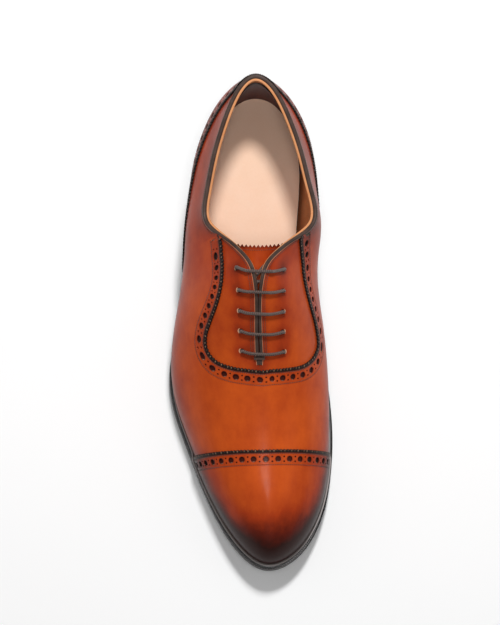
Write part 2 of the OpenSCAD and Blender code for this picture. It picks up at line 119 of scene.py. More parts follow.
class Coat:
    """A material under way. node() makes any node: its type, its settings, then its sockets."""

    def __init__(self, name):
        self.material = bpy.data.materials.new(name)
        self.material.use_nodes = True
        self.tree = self.material.node_tree
        self.shader = self.tree.nodes["Principled BSDF"]

    def node(self, kind, settings=None, sockets=None, out=0):
        n = self.tree.nodes.new(kind)
        for key, value in (settings or {}).items():
            if key == "stops":
                ramp = n.color_ramp
                while len(ramp.elements) < len(value): ramp.elements.new(0.5)
                for e, (at, colour) in zip(ramp.elements, value): e.position, e.color = at, (*colour, 1)
            else:
                setattr(n, key, value)
        for key, value in (sockets or {}).items():
            if isinstance(value, Wire): self.tree.links.new(value.socket, n.inputs[key])
            else: n.inputs[key].default_value = value
        return Wire(self, n.outputs[out])

    def place(self): return self.node("ShaderNodeTexCoord", out="Object")
    def across(self): return self.node("ShaderNodeTexCoord", out="UV")
    def painted(self, name): return self.node("ShaderNodeAttribute", {"attribute_name": name}, out="Fac")
    def ramp(self, value, *stops): return self.node("ShaderNodeValToRGB", {"stops": stops}, {0: value})
    def split(self, vector, axis): return self.node("ShaderNodeSeparateXYZ", None, {0: vector}, out=axis)
    def stretched(self, at, by): return self.node("ShaderNodeMapping", None, {0: at, 3: by})

    def noise(self, at, scale, detail=3.0, rough=0.55):
        sockets = {"Vector": at, "Scale": scale, "Detail": detail, "Roughness": rough}
        return self.node("ShaderNodeTexNoise", None, sockets)

    def cells(self, at, scale):
        sockets = {"Vector": at, "Scale": scale, "Smoothness": 0.35}
        return self.node("ShaderNodeTexVoronoi", {"feature": "SMOOTH_F1"}, sockets)

    def mix(self, share, a, b):
        a, b = ((*c, 1) if isinstance(c, tuple) else c for c in (a, b))
        return self.node("ShaderNodeMix", {"data_type": "RGBA"}, {0: share, 6: a, 7: b}, out=2)

    def bump(self, height, strength, distance=0.0004):
        return self.node("ShaderNodeBump", None, {"Height": height, "Strength": strength, "Distance": distance})

    def finish(self, **sockets):
        """Sets the shader: numbers go on its own sockets, wires are linked."""
        for key, value in sockets.items():
            key = key.replace("_", " ")
            if isinstance(value, Wire): self.tree.links.new(value.socket, self.shader.inputs[key])
            else: self.shader.inputs[key].default_value = value
        return self.material


print("shader helpers ready")

# %% [markdown]
# ## The finishes
# Burnished calf is dyed bright and then darkened by hand towards the toe, the welt and every seam.
# Each leather piece therefore carries three painted values: *burn* for how far it was
# darkened, with painted shade added down the punched holes; *inked* for edge ink and for
# painted shade inside the punched and lace holes; and *fleck* for the raw pale fibre
# that shows where a hole is pulled or an edge is cut, and for painted highlights on the scallop teeth
# and on the lit walls of the punched holes.


# %% Burnished calf
def calf(name, bright, middle, deep, last):
    """Colour runs from bright to last as the leather darkens, with clouds of polish, fine pores and faint creases; near
    black marks edge ink and painted shade, pale tan marks raw fibre and painted highlights.
    """
    c = Coat(name)
    at = c.place()
    clouds = c.noise(at, 46, 4, 0.6) - 0.5
    streaks = c.noise(c.stretched(at, (1.0, 0.35, 1.0)), 150, 3, 0.6) - 0.5
    fine = c.noise(at, 900, 2, 0.5) - 0.5
    burn = c.painted("burn") + clouds * 0.5 + streaks * 0.24 + 0.14 + fine * 0.035
    colour = c.ramp(burn, (0.0, bright), (0.38, middle), (0.72, deep), (1.0, last))
    inked = c.painted("inked")
    # near black: edge ink, and painted shade inside the punched and lace holes
    colour = c.mix(inked.above(0.15, 0.85), colour, (0.016, 0.010, 0.009))
    # pale tan: raw fibre at pulled holes and cut edges, and painted highlights on the scallop teeth and lit hole walls
    colour = c.mix(c.painted("fleck").above(0.35, 0.8) * 0.85, colour, (0.62, 0.36, 0.22))
    pores = c.cells(at, 1900)
    grain = c.noise(at, 620, 4, 0.6)
    rough = 0.36 + clouds * 0.08 + (grain - 0.5) * 0.12 + inked * 0.12
    return c.finish(Base_Color=colour, Roughness=rough, Normal=c.bump(pores * 0.6 + grain * 0.5, 0.1),
                    Coat_Weight=0.12, Coat_Roughness=0.2, Specular_IOR_Level=0.06)


outer_calf = calf("burnished_calf", (0.62, 0.096, 0.012), (0.37, 0.040, 0.008), (0.115, 0.013, 0.006),
                  (0.030, 0.008, 0.006))


# %% Plain leathers
def plain_leather(name, light, dark, scale=60, rough=0.6, pore=1500, strength=0.16, ink=None, sheen=0.0):
    """Vegetable leather: cloudy colour, pores and short fibres; the ink colour darkens what is painted with the ink
    value: edge ink on the sole, painted shade deep in the lining.
    """
    c = Coat(name)
    at = c.place()
    clouds, fibre = c.noise(at, scale, 5, 0.62), c.noise(at, 700, 4, 0.65)
    colour = c.mix((clouds * 0.7 + fibre * 0.3).above(0.3, 0.72), light, dark)
    if ink: colour = c.mix(c.painted("inked").above(0.1, 0.9), colour, ink)
    return c.finish(Base_Color=colour, Roughness=rough + (fibre - 0.5) * 0.2, Specular_IOR_Level=0.12,
                    Normal=c.bump(c.cells(at, pore) * 0.5 + fibre * 0.7, strength), Sheen_Weight=sheen)


# the lining's ink colour is painted shade, laid deep inside the shoe
lining_calf = plain_leather("lining_calf", (0.72, 0.33, 0.15), (0.58, 0.23, 0.09), ink=(0.20, 0.05, 0.02))
# painted shade: dark suede, made darker still to stand for the shade inside the heel
grip_suede = plain_leather("heel_grip_suede", (0.17, 0.05, 0.026), (0.11, 0.03, 0.018), 90, 0.85, 2400, 0.3, sheen=0.3)
sock_calf = plain_leather("sock_calf", (0.97, 0.70, 0.53), (0.93, 0.64, 0.46), 34, 0.5, 1800, 0.08, ink=(0.78, 0.47, 0.33))
sole_bend = plain_leather("sole_bend", (0.33, 0.20, 0.11), (0.22, 0.125, 0.07), 40, 0.62, 1300, 0.2, ink=(0.012, 0.010, 0.010))
board = plain_leather("leather_board", (0.52, 0.38, 0.25), (0.36, 0.24, 0.15), 240, 0.85, 900, 0.4)
binding_calf = plain_leather("binding_calf", (0.085, 0.055, 0.045), (0.045, 0.028, 0.022), 120, 0.42, 1700, 0.25)
print("leathers:", [m.name for m in bpy.data.materials])


# %% Edge ink, rubber, thread, cord and small fittings
def edge_ink():
    """Black wax ink ironed on to cut leather: nearly smooth, faint layers, a soft gloss."""
    c = Coat("edge_ink")
    at = c.place()
    layers, dust = c.noise(c.stretched(at, (1, 1, 14)), 110, 4, 0.6), c.noise(at, 500, 3, 0.6)
    colour = c.mix(layers.above(0.35, 0.75), (0.008, 0.008, 0.009), (0.026, 0.023, 0.022))
    # painted highlight: pale grey on the welt's bead and on the tops of its notched teeth
    colour = c.mix(c.painted("worn").above(0.2, 0.9), colour, (0.34, 0.30, 0.29))
    return c.finish(Base_Color=colour, Roughness=0.26 + dust * 0.2, Normal=c.bump(dust + layers, 0.12),
                    Coat_Weight=0.3, Coat_Roughness=0.2)


def cord(name, light, dark, turns, strength):
    """Waxed cord: two sets of strands cross along and around it, read from its own map."""
    c = Coat(name)
    uv = c.across()
    along, around = c.split(uv, "X") * turns, c.split(uv, "Y") * 12.566
    one, two = (along + around).wave(), (along - around).wave()
    braid = one.sum("MAXIMUM", one, two)
    shade = braid * 0.5 + 0.5 + (c.noise(c.place(), 900, 2) - 0.5) * 0.8
    return c.finish(Base_Color=c.mix(shade.above(0.1, 1.1), dark, light), Roughness=0.55,
                    Normal=c.bump(braid, strength, 0.0003), Specular_IOR_Level=0.4, Sheen_Weight=0.15)


def plain(name, light, dark, scale, rough, metal=0.0, strength=0.1, bumpy=700, stretch=(1, 1, 1)):
    """A fitting's finish: two shades in fine clouds and a matching fine relief."""
    c = Coat(name)
    at = c.stretched(c.place(), stretch)
    clouds, fine = c.noise(at, scale, 4, 0.6), c.noise(at, bumpy, 3, 0.6)
    return c.finish(Base_Color=c.mix(clouds.above(0.3, 0.7), dark, light), Metallic=metal,
                    Roughness=rough + (fine - 0.5) * 0.2, Normal=c.bump(fine, strength))


def woven(name, light, dark):
    """Plain weave: two crossed waves in object space, 0.9 mm long."""
    c = Coat(name)
    at = c.place()
    k = 2 * math.pi / 0.0009
    weave = (c.split(at, "X") * k).wave() * (c.split(at, "Y") * k).wave()
    fluff = c.noise(at, 800, 3)
    return c.finish(Base_Color=c.mix((weave * 0.4 + fluff).above(0.1, 0.9), dark, light), Roughness=0.85,
                    Normal=c.bump(weave + fluff, 0.3))


ink = edge_ink()
rubber = plain("heel_rubber", (0.045, 0.045, 0.047), (0.022, 0.022, 0.024), 300, 0.7, strength=0.3)
lace_cord = cord("waxed_lace", (0.125, 0.085, 0.072), (0.040, 0.024, 0.020), 5200, 0.55)
thread = cord("waxed_thread", (0.090, 0.048, 0.032), (0.030, 0.015, 0.011), 9000, 0.5)
tip_film = plain("lace_tip_film", (0.10, 0.06, 0.05), (0.05, 0.03, 0.025), 200, 0.3)
eyelet_metal = plain("eyelet_metal", (0.62, 0.57, 0.48), (0.45, 0.41, 0.34), 300, 0.35, 1.0)
shank_steel = plain("shank_steel", (0.60, 0.61, 0.63), (0.44, 0.45, 0.47), 200, 0.38, 1.0, stretch=(8, 1, 1))
nail_brass = plain("nail_brass", (0.76, 0.58, 0.27), (0.55, 0.40, 0.17), 400, 0.35, 1.0)
cork = plain("ground_cork", (0.50, 0.33, 0.18), (0.22, 0.12, 0.06), 420, 0.9, strength=0.5, bumpy=500)
canvas = woven("interlining_canvas", (0.82, 0.76, 0.64), (0.62, 0.55, 0.43))
print("finishes:", len(bpy.data.materials))

# %% [markdown]
# ## The shape of the last
# The whole upper follows one surface, as real leather follows the wooden last. Thirty-two stations
# run round the foot: 0 at the heel's back, 16 at the toe, the outer side first and the inner side
# coming back. At each station a curved rib climbs from the welt to the top edge. Every leather
# piece is then a patch of that surface, held a little above or below it.

# %% Station tables, in millimetres
Y = [143.5, 139.5, 129, 112, 92, 68, 42, 16, -8, -30, -53, -74, -93, -111, -128, -143.5, -152]
SIDE = {"x": ([0, 12.5, 22.5, 29.5, 32.8, 33.5, 34.5, 39.5, 47, 52.2, 49, 40.8, 34, 26, 16.8, 5, -7.9],
              [0, 12.5, 22, 28.8, 31.8, 30, 28, 30.5, 36.5, 41.5, 44.3, 45.3, 43.9, 41, 34.5, 24, 7.9]),
        "ty": ([140.5, 136, 124.5, 108, 90, 71, 49, 36, 14.5, -12, -38, -70, -96, -103, -106, -107.5, -108],
               [140.5, 136, 125.5, 110, 92, 73.9, 49, 34.5, 16, -12, -38, -70, -96, -103, -106, -107.5, -108]),
        "tx": ([0, 8.2, 15.2, 21.3, 26.8, 30.2, 34.5, 12.5, -2.5, -1.2, -2.6, -4, -5.2, -6, -6.6, -7, -7.1],
               [0, 8.6, 16, 22.8, 29.2, 33.2, 41, 16.5, 1, 1.2, 2.6, 4, 5.2, 6, 6.6, 7, 7.1]),
        "bulge": ([8, 7.5, 8, 10, 14, 17, 20, 23, 18, 9, 4.5, 3, 2, 1.5, 1.2, 0.8, 0.8],
                  [8, 7.5, 8, 9, 10, 13, 17, 22, 21, 14, 8, 4, 2.5, 1.8, 1.2, 0.8, 0.8]),
        "edge": ([2.5, 2.3, 2.2, 2.2, 2.4, 2.6, 3, 3.2, 3.2, 3, 3.1, 3.1, 3.1, 3.5, 4.2, 4.7, 5],
                 [2.5, 2.3, 2.2, 2.2, 2, 1.6, 1.6, 2, 2.5, 2.6, 2.3, 2, 2, 2.4, 3.4, 4.4, 5])}
BOTH = {"y": Y, "top": [57, 57, 55.5, 53, 50.5, 49, 51.5, 71, 84, 72, 59, 46, 39, 36, 34.5, 33, 33],
        "lean": [2, 2, 2, 2.5, 3, 4] + [5] * 11,
        "low": [20] * 6 + [22, 24, 26, 25, 23, 21, 18, 16, 14, 12, 11.5],
        "reach": [0.5] * 7 + [0.45, 0.48, 0.52, 0.58, 0.6] + [0.62] * 5,
        "over": [0] * 6 + [0.15, 0.75] + [1] * 9}
RIDGE = np.array([107, 105, 101.5, 96, 89.5, 81.5, 73, 64.2, 56.8, 50.6, 45.8, 41.6, 37.8, 34.2, 31, 28])
SEAM = {-1: [1, 0.905, 0.83, 0.79, 0.76, 0.74, 0.72, 0.693, 0.657, 0.626, 0.623, 0.654, 0.719, 0.835, 1],
        1: [1, 0.79, 0.665, 0.602, 0.555, 0.516, 0.478, 0.44, 0.415, 0.413, 0.456, 0.526, 0.635, 0.806, 1]}
HOLES = {-1: [(7.56, 0.874), (8.12, 0.862), (8.59, 0.87), (9.03, 0.882), (9.46, 0.89)],
         1: [(24.5, 0.804), (23.98, 0.77), (23.51, 0.768), (23.07, 0.778), (22.64, 0.784)]}
DX, DY = 3.45, 3.8
UNDER, INNER, INSIDE = -1.3, -2.5, -3.6  # below the outer leather, below the middle layer, inside of the lining


def ring_of(outer, inner, sign=1):
    """One closed loop of 32 values: the outer side, then the inner side read backwards."""
    return np.concatenate([sign * np.array(outer, float), np.array(inner, float)[15:0:-1]])


T = {k: ring_of(*v, -1 if k in ("x", "tx") else 1) for k, v in SIDE.items()}
T.update({k: ring_of(v, v) for k, v in BOTH.items()})
print("tables:", ", ".join(sorted(T)))


# %% Smooth readings of the tables
def four(t, a, b, c, d):
    """The cubic B-spline sum of four neighbours at share t."""
    return (a * (1 - t) ** 3 + b * (3 * t**3 - 6 * t * t + 4) + c * (-3 * t**3 + 3 * t * t + 3 * t + 1) + d * t**3) / 6


def through(t, a, b, c, d):
    """The cubic from b to c at share t, whose ends lean on the neighbours a and d."""
    return b + 0.5 * t * (c - a + t * (2 * a - 5 * b + 4 * c - d + t * (3 * (b - c) + d - a)))


def unit(v):
    """Arrows, each made one long."""
    return v / np.linalg.norm(v, axis=-1, keepdims=True)


def run(p):
    """The distance along a line from its first point to each of its points."""
    return np.concatenate([[0], np.cumsum(np.linalg.norm(np.diff(p, axis=0), axis=1))])


def read(name, a):
    """A table read smoothly at any station a, round the closed loop."""
    tab, i = T[name], np.floor(a).astype(int)
    return four(a - i, tab[(i + 31) % 32], tab[i % 32], tab[(i + 1) % 32], tab[(i + 2) % 32])


def ease(low, high, x):
    """0 up to low, 1 from high, smooth between."""
    t = np.clip((x - low) / (high - low), 0, 1)
    return t * t * (3 - 2 * t)


def from_heel(a):
    """Stations counted from the heel on either side, 0 to 16."""
    a = np.mod(a, 32)
    return np.minimum(a, 32 - a)


def ground(y):
    """Height of the sole's underside: the heel's height, falling to the ball, then the toe's lift."""
    t = (144.8 - y) / 299
    return 27 * (1 - ease(0.08, 0.62, t)) + 12 * np.maximum(0, (t - 0.66) / 0.34) ** 2


def feather_z(y): return ground(y) + 8


def ridge_z(y):
    """Height of the centre ridge in front of the throat."""
    q = np.clip((84 - y) / 16, 1, 13.99)
    i = np.floor(q).astype(int)
    return feather_z(y) + four(q - i, RIDGE[i - 1], RIDGE[i], RIDGE[i + 1], RIDGE[i + 2])


def ridge_slope(y): return ridge_z(y + 0.5) - ridge_z(y - 0.5)


def outward(a):
    """Level direction out of the foot at station a: the loop's direction turned by a right angle."""
    p, q = read("x", a + 0.02) - read("x", a - 0.02), read("y", a + 0.02) - read("y", a - 0.02)
    return unit(np.stack([q, -p, 0 * q], -1))


def rib_points(a):
    """The four points that shape a rib: at the welt, above it, before the top edge and on it."""
    n, u = outward(a), from_heel(a)
    base = np.stack([read("x", a), read("y", a), feather_z(read("y", a))], -1)
    ty, k = read("ty", a), ease(7, 9, u)
    part = 1.15 * (1 - ease(9.6, 10, u)) * ease(7.4, 8.2, u) * np.where(np.mod(a, 32) > 16, 1.0, -1.0)  # half the slit
    top = np.stack([read("tx", a) + part, ty, (1 - k) * (feather_z(ty) + read("top", a)) + k * ridge_z(ty)], -1)
    over, w = read("over", a)[..., None], read("reach", a)
    ex, ey = (base - top)[..., 0] * w, (base - top)[..., 1] * w
    flat = np.stack([ex, ey, ridge_slope(ty) * ey - 0.12 * (ease(6, 8, u) - ease(9, 10.4, u)) * np.abs(ex)], -1)
    steep = n * read("lean", a)[..., None] - np.array([0, 0, 18.0])
    first = base + n * read("bulge", a)[..., None] + np.stack([0 * u, 0 * u, read("low", a)], -1)
    return base, first, top + (1 - over) * steep + over * flat, top


def rib(a, v):
    """A point on the last: the cubic Bezier curve of station a at share v, from welt 0 to top 1."""
    a, v = np.broadcast_arrays(np.asarray(a, float), np.asarray(v, float))
    b, p, q, t = rib_points(a)
    v = v[..., None]
    w = 1 - v
    return w**3 * b + 3 * w * w * v * p + 3 * w * v * v * q + v**3 * t


def facing_out(a, v):
    """The surface's own direction outwards: the cross product of the steps along and up the rib."""
    a, v = np.broadcast_arrays(np.asarray(a, float), np.asarray(v, float))
    s = np.clip(v, 0.004, 0.994)
    n = unit(np.cross(rib(a + 0.02, s) - rib(a - 0.02, s), rib(a, s + 0.003) - rib(a, s - 0.003)))
    top = unit(np.stack([0 * a, -ridge_slope(read("ty", a)), 0 * a + 1], -1))
    k = ((v > 0.999) & (from_heel(a) >= 10))[..., None].astype(float)
    low = (1 - ease(0, 0.08, v))[..., None]
    return unit(n * (1 - k) * (1 - low) + top * k + outward(a) * low)


def last(a, v, off=0.0):
    """A point in metres, off millimetres outside the last's surface."""
    return (rib(a, v) + facing_out(a, v) * np.asarray(off, float)[..., None] + [DX, DY, 0]) / 1000


def spot(h, off, up=0.0):
    """One point in millimetres at h = (station, share), moved up the rib and held off the surface."""
    return last(h[0], h[1] + up, off) * 1000


def seam_v(a):
    """How far up each rib the facing seam runs; 1 where there is no facing."""
    a = np.asarray(a, float)
    u, side = from_heel(a), np.where(np.mod(a, 32) > 16, 1, -1)
    q = np.clip((u - 6.5) / 0.25, 0, 13.999)
    i = np.floor(q).astype(int)
    t, out = q - i, np.ones(a.shape)
    for s, tab in SEAM.items():
        m = np.array(tab)
        v = through(t, m[np.maximum(0, i - 1)], m[i], m[i + 1], m[np.minimum(14, i + 2)])
        out = np.where(side == s, v, out)
    return np.where((u <= 6.5) | (u >= 10), 1.0, np.minimum(1, out))


print("instep ridge at", np.round(last(10, 1), 4))

# %% [markdown]
# ## From arrays to meshes
# A patch is a grid of points. A piece gathers one or more patches, closes the gaps between points
# that meet, and carries its painted values with it.


# %% Patches and pieces
def patch(points, loop_u=False, loop_v=False, **painted):
    """Four-cornered faces over a grid of points; a looped side joins its last row to its first."""
    n, m = points.shape[:2]
    ids = np.arange(n * m).reshape(n, m)
    if loop_u: ids = np.vstack([ids, ids[:1]])
    if loop_v: ids = np.hstack([ids, ids[:, :1]])
    faces = np.stack([ids[:-1, :-1], ids[1:, :-1], ids[1:, 1:], ids[:-1, 1:]], -1).reshape(-1, 4)
    k, l = ids.shape
    gu, gv = np.meshgrid(np.arange(k) / (k - 1), np.arange(l) / (l - 1), indexing="ij")
    uv = np.stack([np.stack([g[:-1, :-1], g[1:, :-1], g[1:, 1:], g[:-1, 1:]], -1) for g in (gu, gv)], -1).reshape(-1, 4, 2)
    paint = {name: np.broadcast_to(value, (n, m)).reshape(-1) for name, value in painted.items()}
    return points.reshape(-1, 3), faces, uv, paint


def piece(name, patches, finish, stands_for=(), body="shoe", weld=2e-6, turn=False, sharp=40, scale_uv=(1, 1)):
    """Joins patches into one mesh: points closer than weld become one, and faces that lose a corner
    become triangles."""
    points = np.concatenate([p[0] for p in patches])
    base = np.cumsum([0] + [len(p[0]) for p in patches[:-1]])
    faces = np.concatenate([p[1] + b for p, b in zip(patches, base)])
    uv = np.concatenate([p[2] for p in patches]) * scale_uv
    names = sorted({k for p in patches for k in p[3]})
    paint = {k: np.concatenate([p[3].get(k, np.zeros(len(p[0]))) for p in patches]) for k in names}
    _, first, back = np.unique(np.round(points / weld).astype(np.int64), axis=0, return_index=True, return_inverse=True)
    points, faces = points[first], back.reshape(-1)[faces]
    if turn: faces, uv = faces[:, ::-1], uv[:, ::-1]
    same = faces == np.roll(faces, -1, 1)
    whole = ~same.any(1)
    lists, maps = [faces[whole]], [uv[whole]]
    for k in range(4):
        pick = same[:, k] & (same.sum(1) == 1)
        keep = [(k + j) % 4 for j in (1, 2, 3)]
        tri = faces[pick][:, keep]
        ok = (tri[:, 0] != tri[:, 1]) & (tri[:, 1] != tri[:, 2]) & (tri[:, 0] != tri[:, 2])
        lists.append(tri[ok])
        maps.append(uv[pick][ok][:, keep])
    mesh = bpy.data.meshes.new(name)
    mesh.from_pydata(points.tolist(), [], [f for group in lists for f in group.tolist()])
    flat = np.concatenate([m.reshape(-1) for m in maps]).astype(np.float32)
    mesh.uv_layers.new(name="UVMap").data.foreach_set("uv", flat)
    for k in names:
        mesh.attributes.new(k, "FLOAT", "POINT").data.foreach_set("value", paint[k][first].astype(np.float32))
    mesh.materials.append(finish)
    mesh.shade_smooth()
    mesh.set_sharp_from_angle(angle=math.radians(sharp))
    made = bpy.data.objects.new(name, mesh)
    bpy.context.scene.collection.objects.link(made)
    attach(made, body)
    if stands_for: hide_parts(*stands_for)
    print(f"{name}: {len(mesh.polygons)} faces")


def burnish(a, v, extra=0.0):
    """How far the polish darkens the leather: towards the toe, near the welt and at the sides."""
    u = from_heel(a)
    toe = ease(-98, -150, last(a, v)[..., 1] * 1000)
    low = (1 - ease(0.02, 0.5, v)) * (0.44 + 0.26 * ease(10.2, 12.8, u))
    low = low + 0.3 * (1 - ease(0.1, 0.85, v)) * ease(11, 12.5, u)
    sides = 0.26 * (1 - ease(5.5, 9.2, u)) + 0.16 * ease(0.5, 1, v) * (u < 6.5)
    return np.clip(0.8 * toe**1.15 + low + sides + extra, 0, 0.97)


print("patch and piece ready")

# %% [markdown]
# ## Seams and the leather beside them
# Brogue bands run along the edge of a leather piece. A seam here is a line on the last with a
# narrow carpet of points marched away from it, so that holes and stitches can be laid out in plain
# millimetres: s along the seam, t away from it.


# %% Seams
WIDTH = 9.8  # how wide a brogue band is
CHANNELS = 2.1, 9.0  # where its two rows of stitches lie
LAID = 1.2  # how much higher a piece lies that is laid over the galosh


class Seam:
    """A strip beside a line on the last. s runs along it; t runs to its left as seen from outside."""

    def __init__(self, *halves, ridge=()):
        self.t = np.linspace(0, WIDTH, 21)
        parts, s0, self.ends = [], 0.0, []
        for h, (a, v) in enumerate(halves):
            d = run(last(a, v) * 1000)
            s = np.linspace(0, d[-1], int(d[-1] / 0.5) + 2)
            a, v = np.interp(s, d, a), np.interp(s, d, v)
            along = np.gradient(last(a, v), s, axis=0)
            away = np.cross(facing_out(a, v), along)
            if h < len(ridge):
                k = np.exp(-((s - (d[-1] if ridge[h] else 0)) / 5) ** 2)[:, None]
                ahead = np.stack([0 * s, 0 * s - 1, -ridge_slope(read("ty", a))], -1)
                away = unit(away) * (1 - k) + unit(ahead) * k
            self.ends.append(self.walk(a, v, unit(away)))
            parts.append((s + s0, *self.ends[-1]))
            s0 += d[-1]
        self.joins = [p[0][-1] for p in parts]
        self.length = s0
        self.s, self.A, self.V = (np.concatenate([p[k][min(h, 1):] for h, p in enumerate(parts)]) for k in range(3))
        self.P, self.N = last(self.A, self.V) * 1000, facing_out(self.A, self.V)

    def walk(self, a, v, away):
        """Steps away from the line: each step solves how much station and height make one step in
        that direction on the surface."""
        A, V = [a], [v]
        for dt in np.diff(self.t):
            w = np.clip(v, 0.012, 1)
            ga = (rib(a + 0.02, w) - rib(a - 0.02, w)) / 0.04
            gv = (rib(a, w) - rib(a, w - 0.008)) / 0.008
            aa, av, vv = (ga * ga).sum(-1), (ga * gv).sum(-1), (gv * gv).sum(-1)
            ca, cv, det = (away * ga).sum(-1), (away * gv).sum(-1), aa * vv - av * av
            a, v = a + dt * (ca * vv - cv * av) / det, np.clip(v + dt * (cv * aa - ca * av) / det, 0, 1)
            A.append(a)
            V.append(v)
        return np.stack(A, 1), np.stack(V, 1)

    def at(self, s, t, off=0.0, of=None):
        """Points in metres at s along and t away, off millimetres outside, read between the carpet's points."""
        s, t = np.broadcast_arrays(np.asarray(s, float), np.asarray(t, float))
        i = np.clip(np.searchsorted(self.s, s) - 1, 0, len(self.s) - 2)
        f = (s - self.s[i]) / (self.s[i + 1] - self.s[i])
        step = self.t[1]
        j = np.clip((t / step).astype(int), 0, len(self.t) - 2)
        g = t / step - j

        def blend(G):
            F, K = (f[..., None], g[..., None]) if G.ndim == 3 else (f, g)
            return (G[i, j] * (1 - F) + G[i + 1, j] * F) * (1 - K) + (G[i, j + 1] * (1 - F) + G[i + 1, j + 1] * F) * K

        if of is not None: return blend(of)
        return (blend(self.P) + unit(blend(self.N)) * np.asarray(off, float)[..., None]) / 1000

    def normal(self, s, t):
        return unit(self.at(s, t, of=self.N))

    def burn(self, s, t, extra=0.0):
        a = self.A % 32
        if len(self.joins) > 1: a = np.minimum(a, 32 - a)
        return burnish(self.at(s, t, of=a), self.at(s, t, of=self.V), extra)


def band_paint(seam, s, t, holes=0.0):
    """Burn along a band: darker towards the cut edge, and darker still round and down into the holes as painted shade.
    """
    return np.clip(seam.burn(s, t, 0.16 * (1 - ease(0.6, 5, t)) + 0.1) + holes, 0, 1)


print("seam class ready")


# %% Punched bands
def punched(seam, base, centre_s, centre_t, half_s, half_t, radius, n):
    """Rings between a rectangle and a round hole: a point of ring k slides from the rectangle's rim
    to the hole's rim, then down the wall to the hole's floor. One call makes every cell of a row."""
    q = np.arange(n) / (n // 4)
    side, f = np.floor(q).astype(int), (q % 1) * 2 - 1
    bx = np.choose(side, [f, 1 + 0 * f, -f, -1 + 0 * f])
    by = np.choose(side, [-1 + 0 * f, f, 1 + 0 * f, -f])
    angle = np.arctan2(by * half_t, bx * half_s)
    circle = np.stack([np.cos(angle), np.sin(angle)], -1) * radius
    box = np.stack([bx * half_s, by * half_t], -1)
    flat = np.stack([box, box * 0.45 + circle * 0.715] + [circle * k for k in (1.22, 1.04, 0.97, 0.95, 0)])
    # Down each hole the ink and the darkening rise from the rim to the floor: painted shade for the hole's depth.
    drop, inked, burn, fleck = np.array([[0, 0, 0, -0.14, -0.4, -1.02, -1.02], [0, 0, 0.1, 0.42, 0.72, 0.45, 0.5],
                                         [0, 0, 0.05, 0.2, 0.5, 0.6, 0.6], [0, 0, 0, 0.25, 0.62, 0.62, 0]])[..., None]
    s, t = centre_s[:, None, None] + flat[..., 0], centre_t + flat[..., 1]
    points = seam.at(s, t, base + drop)
    # painted highlight: the pale fibre on a hole's wall is kept to its toe side, the wall that faces the light from
    # behind the heel
    reach = points - points[:, -1:, :1]
    toward_toe = np.clip(-reach[..., 1] / np.maximum(np.linalg.norm(reach, axis=-1), 1e-9), 0, 1)
    paint = {"inked": inked + 0 * s, "burn": band_paint(seam, s, t, burn), "fleck": toward_toe**2 * fleck}
    c, k, m = s.shape
    ids = np.arange(c * k * m).reshape(c, k, m)
    nxt = np.roll(ids, -1, 2)
    faces = np.stack([ids[:, :-1], nxt[:, :-1], nxt[:, 1:], ids[:, 1:]], -1).reshape(-1, 4)
    return points.reshape(-1, 3), faces, np.zeros((len(faces), 4, 2)), {k: g.reshape(-1) for k, g in paint.items()}


def columns(like, *parts):
    """Parts side by side; a part of one row is repeated for every row of like."""
    return np.concatenate([np.broadcast_to(p, (len(like), np.shape(p)[1])) for p in parts], 1)


def brogue_band(seam, base, pitch=7.2, margin=0.8, centre=None):
    """The whole band: scalloped cut edge, stitch channel, holes with pairs of small holes, channel."""
    L, tooth, half_cell, low, high = seam.length, 2.2, 2.1, 2.6, 8.4

    def lay(s, t, off, **paint): return patch(seam.at(s, t, off), burn=band_paint(seam, s, t), **paint)

    s = np.linspace(0, L, int(L / 0.23) + 1)[:, None]
    wave = np.abs(np.sin(np.pi * s / tooth)) ** 0.7
    # painted highlights: the crest puts pale dots on the rounded top of each scallop tooth
    crest = wave**3 * (0.85 + 0.15 * np.sin(s * 1.7 + np.sin(s * 0.31)))
    t = columns(s, 0.3 - 0.75 * wave + [[0.02, 0, 0.14, 0.4, 0.75]], [[1.3, 1.75, CHANNELS[0], 2.35, low]])
    off = base + columns(s, [[-1.15, -0.3, -0.04]], wave * [[0.10, 0.02]], [[0, 0, -0.13, 0, 0]])
    out = [lay(s, t, off, inked=[[1, 1, 1, 1, 1, 0.95, 0.55, 0.3, 0.08, 0]],
               fleck=crest * [[0, 0, 0.35, 0.66, 0.66, 0.45, 0, 0, 0, 0]])]
    mid = (L / 2 if centre is None else centre) - half_cell
    first = mid - pitch * math.floor((mid - margin) / pitch)
    count = int((L - margin - first) // pitch)
    c = first + half_cell + pitch * np.arange(count)
    out.append(punched(seam, base, c, 5.5, half_cell, 2.9, 1.72, 24))
    out += [punched(seam, base, c + 3.6, t, 1.5, 1.45, 0.47, 12) for t in (4.05, 6.95)]
    for start, stop in ((0, first), (first + pitch * count, L)):
        if stop - start > 0.05:
            s = np.linspace(start, stop, max(3, int((stop - start) / 0.7)))[:, None]
            out.append(lay(s, np.linspace(low, high, 7)[None], base))
    s = np.linspace(0, L, int(L / 0.7) + 1)[:, None]
    t = np.array([[high, 8.75, CHANNELS[1], 9.25, 9.5, WIDTH]])
    out.append(lay(s, t, base + np.array([[0, 0, -0.12, 0, 0, 0]]), inked=[[0, 0.05, 0.25, 0.05, 0, 0]]))
    return out


def rows_of(a, low, high, off, rows, inward=False, **paint):
    """A patch of the last between two heights: each column climbs in equal shares from low to high."""
    w = np.linspace(0, 1, rows)[None]
    low, high = np.broadcast_to(low, a.shape)[:, None], np.broadcast_to(high, a.shape)[:, None]
    v = low + (high - low) * w
    A = a[:, None] + 0 * v
    pts = last(A, v, off)
    paint = {k: (f(A, v) if callable(f) else f + 0 * v) for k, f in paint.items()}
    if inward: pts, paint = pts[:, ::-1], {k: g[:, ::-1] for k, g in paint.items()}
    return patch(pts, **paint)


